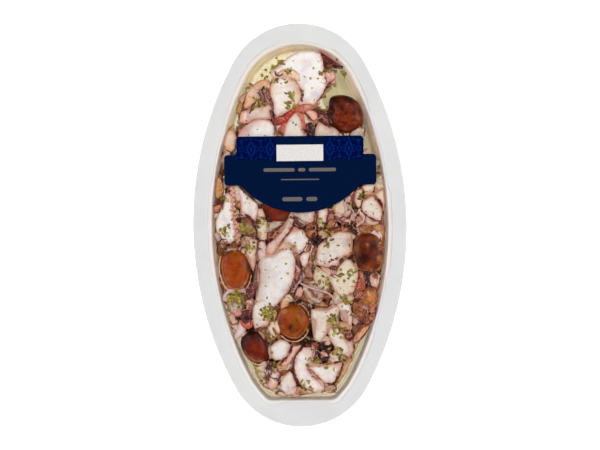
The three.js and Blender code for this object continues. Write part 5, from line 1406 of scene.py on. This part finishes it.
def ornament(low, high):
    """Leaves in diamonds and stars, in a band on each side of the white panel."""
    shapes, middle, upright = [], (low + high) / 2, math.pi / 2
    for side in (-1, 1):
        for i in range(4):
            cx = LABEL_X + side * (16.0 + 5.2 * i)
            if i % 2:
                shapes += [leaf(cx, middle, 2.3, 0.5, turn + 0.52) for turn in (0.0, 1.05, 2.09)]
                for up in (-1, 1):
                    shapes.append(leaf(cx, middle + up * 4.4, 1.5, 0.55, 0.0))
                    shapes.append(leaf(cx, middle + up * 3.0, 0.9, 0.4, upright))
            else:
                for lean in (-1, 1):
                    for up in (1, -1):
                        turn = upright + up * lean * 0.42
                        shapes.append(leaf(cx + lean * 1.15, middle + up * 2.3, 2.3, 0.5, turn))
                    shapes.append(leaf(cx + lean * 2.2, middle, 0.9, 0.5, 0.0))
                shapes.append(leaf(cx, middle, 1.6, 0.6, upright))
                shapes += [leaf(cx, middle + up * 5.2, 0.9, 0.5, upright) for up in (-1, 1)]
            for up in (-1, 1):
                shapes.append(leaf(cx + side * 2.6, middle + up * 1.6, 0.6, 0.4, 0.8))
                shapes.append(leaf(cx + side * 2.6, middle + up * 4.9, 0.8, 0.35, -0.8 * up))
    return shapes


def make_label():
    low, high, level = 35.3, 47.0, LABEL_BASE + PAPER
    navy = print_material("label_navy", 4, 23, 58)
    flat_piece("label_paper", [label_outline()], LABEL_BASE, PAPER, navy, ["label"])
    bands = [rectangle(-33.6, low, -13.2, high), rectangle(13.8, low, 34.4, high)]
    bars = groups("-19.5,28.9,-2.5,30.8 -0.8,28.9,3.2,30.8 5,28.9,19.8,30.8 -10,24.3,10.6,24.9 "
                  "-9.5,12.9,1.5,15.1 3.5,12.9,9.5,15.1")
    for name, outlines, z, thickness, material in (
        ("label_bands", bands, level - 0.004, 0.008, print_material("label_deep", 0, 13, 62)),
        ("label_ornament", ornament(low, high), level, 0.012, print_material("label_blue", 6, 36, 110)),
        ("label_panel", [rectangle(-12.3, 34.6, 12.9, 43.4)], level, 0.02,
         print_material("label_white", 236, 232, 230)),
        ("label_lines", [bar(*place) for place in bars], level, 0.012,
         print_material("label_tan", 112, 106, 100)),
    ):
        flat_piece(name, outlines, z, thickness, material)


# ---------------------------------------------------------------- herbs

# Clusters of flakes, in the oil or on the pieces: x, y, spread and number.
HERB_CLUSTERS = groups("""
    -9.4,88.8,1.5,9 -12.4,86.4,1.5,6 -15.6,83.8,1.1,4 -18.6,80,1.4,5 -26,75,1.6,4 -5.2,82.6,1.3,5
    19.6,75,0.8,3 12.4,82,1.4,5 24,82,2,8 -3.5,70,2.6,14 -4,64.5,3,14 -12,78,1.6,3 15.5,84.4,2.4,6
    -22,66,3,10 -18,-48,3.6,44 -34.8,-38.8,4.2,46 -41,14.8,2.2,12 -40.5,-2.5,2.6,14 -31.5,-2,3,14
    -20.5,0.5,4,14 -27,-13,4,14 17.5,-50.5,3,22 20,-57.5,3.2,18 22,-70,3.6,16 -14.5,-77,3.6,10 -26,-80,4,18
    -22,-86,3,8 8.5,-75.5,4,14 3,-88,4,8 17,-71,3,6 28,9,3,8 13,0,4,14 33,15,3,8 15,-8,4,12 26,-27,5,14
    12,-31,5,12 24,-42,3,10
""")
HERB_SPOTS = 780
HERB_TONES = groups("172,156,60 192,172,80 150,132,48 210,190,108 164,126,54 122,104,44")
SMALL_HERB_TONES = HERB_TONES[:5] + groups("198,176,110 176,116,78")
POOL_HERB_TONES = groups("184,160,82 168,146,66 190,168,96 150,126,52")
FLAKE = [(-1, 0), (-0.4, 1), (0.4, 0.8), (1, 0), (0.3, -1), (-0.5, -0.8)]


def herb_spots(rng):
    """The places of the flakes in clusters, and then scattered ones: x, y and size."""
    spots = []
    for x, y, spread, count in HERB_CLUSTERS:
        spread *= 0.55
        spots += [(rng.gauss(x, spread), rng.gauss(y, spread), 1.0) for _ in range(int(count))]
    while len(spots) < HERB_SPOTS:
        x, y = rng.uniform(-44, 44), rng.uniform(-92, 94)
        if free(x, y, 4.0, 0.5, 0.5):
            spots.append((x, y, 0.62))
    return spots


def make_herbs(surfaces):
    """Flakes of leaf laid on what is under them."""
    points, faces = [], []
    for obj in surfaces:
        start = len(points)
        points += [v.co.copy() for v in obj.data.vertices]
        faces += [[start + i for i in f.vertices] for f in obj.data.polygons]
    tree = BVHTree.FromPolygons(points, faces)
    rng = random.Random(17)
    pile = Pile("tone")
    for x, y, size in herb_spots(rng):
        if within(ON_OLIVES, x, y, 0.2):
            continue
        place, normal, _, _ = tree.ray_cast(Vector((x * MM, y * MM, 12.7 * MM)), Vector((0, 0, -1)))
        z, normal = (2.0, Vector((0, 0, 1))) if place is None else (place.z / MM, normal)
        if normal.z < 0.3:
            continue
        afloat = within(POOLS, x, y)
        z = min(max(z, OIL_LEVEL - 0.1 if afloat else z), 12.4)
        size *= rng.uniform(0.5, 1.35) if size < 1 else 1
        length, width = rng.uniform(1.4, 3.3) * size, rng.uniform(1.0, 1.9) * size
        tones = POOL_HERB_TONES if afloat else HERB_TONES if size == 1 else SMALL_HERB_TONES
        bearing, bend = rng.uniform(0, 6.3), rng.uniform(-0.2, 0.25)
        c, s = math.cos(bearing), math.sin(bearing)
        rows = []
        for lift in (0.02, 0.14):
            for a, b in FLAKE:
                a, b = a * length / 2 * rng.uniform(0.85, 1.1), b * width / 2
                px, py = a * c - b * s, a * s + b * c
                slope = -(normal.x * px + normal.y * py) / max(normal.z, 0.4)
                rows.append((x + px, y + py, min(z + lift + slope + bend * abs(a) * 0.5, 12.6)))
        sides = [(i, i + 6, (i + 1) % 6 + 6, (i + 1) % 6) for i in range(6)]
        faces = [range(6), range(11, 5, -1), *sides]
        pile.add(keep_inside(np.array(rows)), faces, tone=colour(*rng.choice(tones)))
    pile.make("herb_flakes", herb_material(), "octopus")


# ---------------------------------------------------------------- studio

EYE_AWAY, VIEW_WIDTH = 1.5, 0.324  # metres


def add_to_scene(name, data, place):
    obj = bpy.data.objects.new(name, data)
    obj.location = place
    bpy.context.scene.collection.objects.link(obj)
    return obj


def make_floor():
    """A white stage that glows a little, just under the tray."""
    half = 3.0
    mesh = bpy.data.meshes.new("floor")
    mesh.from_pydata([(x, y, 0) for x, y in rectangle(-half, -half, half, half)], [], [(0, 1, 2, 3)])
    floor = add_to_scene("floor", mesh, (0, 0, 0))
    s = Shader("floor_white")
    s.set(Base_Color=(0.92, 0.92, 0.92, 1.0), Roughness=0.9, Emission_Color=(1.0, 1.0, 1.0, 1.0),
          Emission_Strength=0.85)
    mesh.materials.append(s.material)
    floor.location.z = -0.0002


def make_studio():
    scene = bpy.context.scene
    scene.view_settings.view_transform = "Standard"
    scene.cycles.transparent_max_bounces = 16
    world = bpy.data.worlds.new("studio")
    scene.world = world
    world.use_nodes = True
    tree = world.node_tree
    around = tree.nodes.new("ShaderNodeTexCoord")
    split = tree.nodes.new("ShaderNodeSeparateXYZ")
    grade = tree.nodes.new("ShaderNodeMapRange")
    for socket, value in zip(("From Min", "From Max", "To Min", "To Max"), (0.35, 0.95, 0.68, 0.04)):
        grade.inputs[socket].default_value = value
    tree.links.new(around.outputs["Generated"], split.inputs[0])
    tree.links.new(split.outputs["Z"], grade.inputs["Value"])
    tree.links.new(grade.outputs["Result"], tree.nodes["Background"].inputs["Strength"])
    make_floor()
    for name, place, size, power in (
        ("key", (0.95, 0.3, 1.05), 0.8, 11.8),
        ("fill", (-0.95, 0.2, 1.0), 1.0, 11.0),
        ("low", (0.1, -1.1, 0.9), 0.9, 6.8),
        ("glint", (0.35, 0.5, 1.3), 0.12, 1.4),
    ):
        light = bpy.data.lights.new(name, "AREA")
        light.size, light.energy = size, power
        lamp = add_to_scene(name, light, place)
        lamp.rotation_euler = (-Vector(place)).to_track_quat("-Z", "Y").to_euler()
    camera = bpy.data.cameras.new("camera")
    camera.sensor_width = 36
    camera.lens = EYE_AWAY / VIEW_WIDTH * camera.sensor_width
    camera.clip_end = 20
    eye = add_to_scene("camera", camera, (0, 0, EYE_AWAY + FLANGE_TOP * MM))
    eye.rotation_euler = (0, 0, -0.0096)  # the tray lies a little askew in the photo
    scene.camera = eye


make_studio()
FLESH = flesh_material()
make_tray()
bed = make_core()
heap = make_octopus()
OLIVE_SKIN = olive_material()
olives = [make_olive(index, olive, OLIVE_SKIN) for index, olive in enumerate(OLIVES)]
make_herbs([bed, *heap, *olives])
make_oil()
make_film()
make_label()
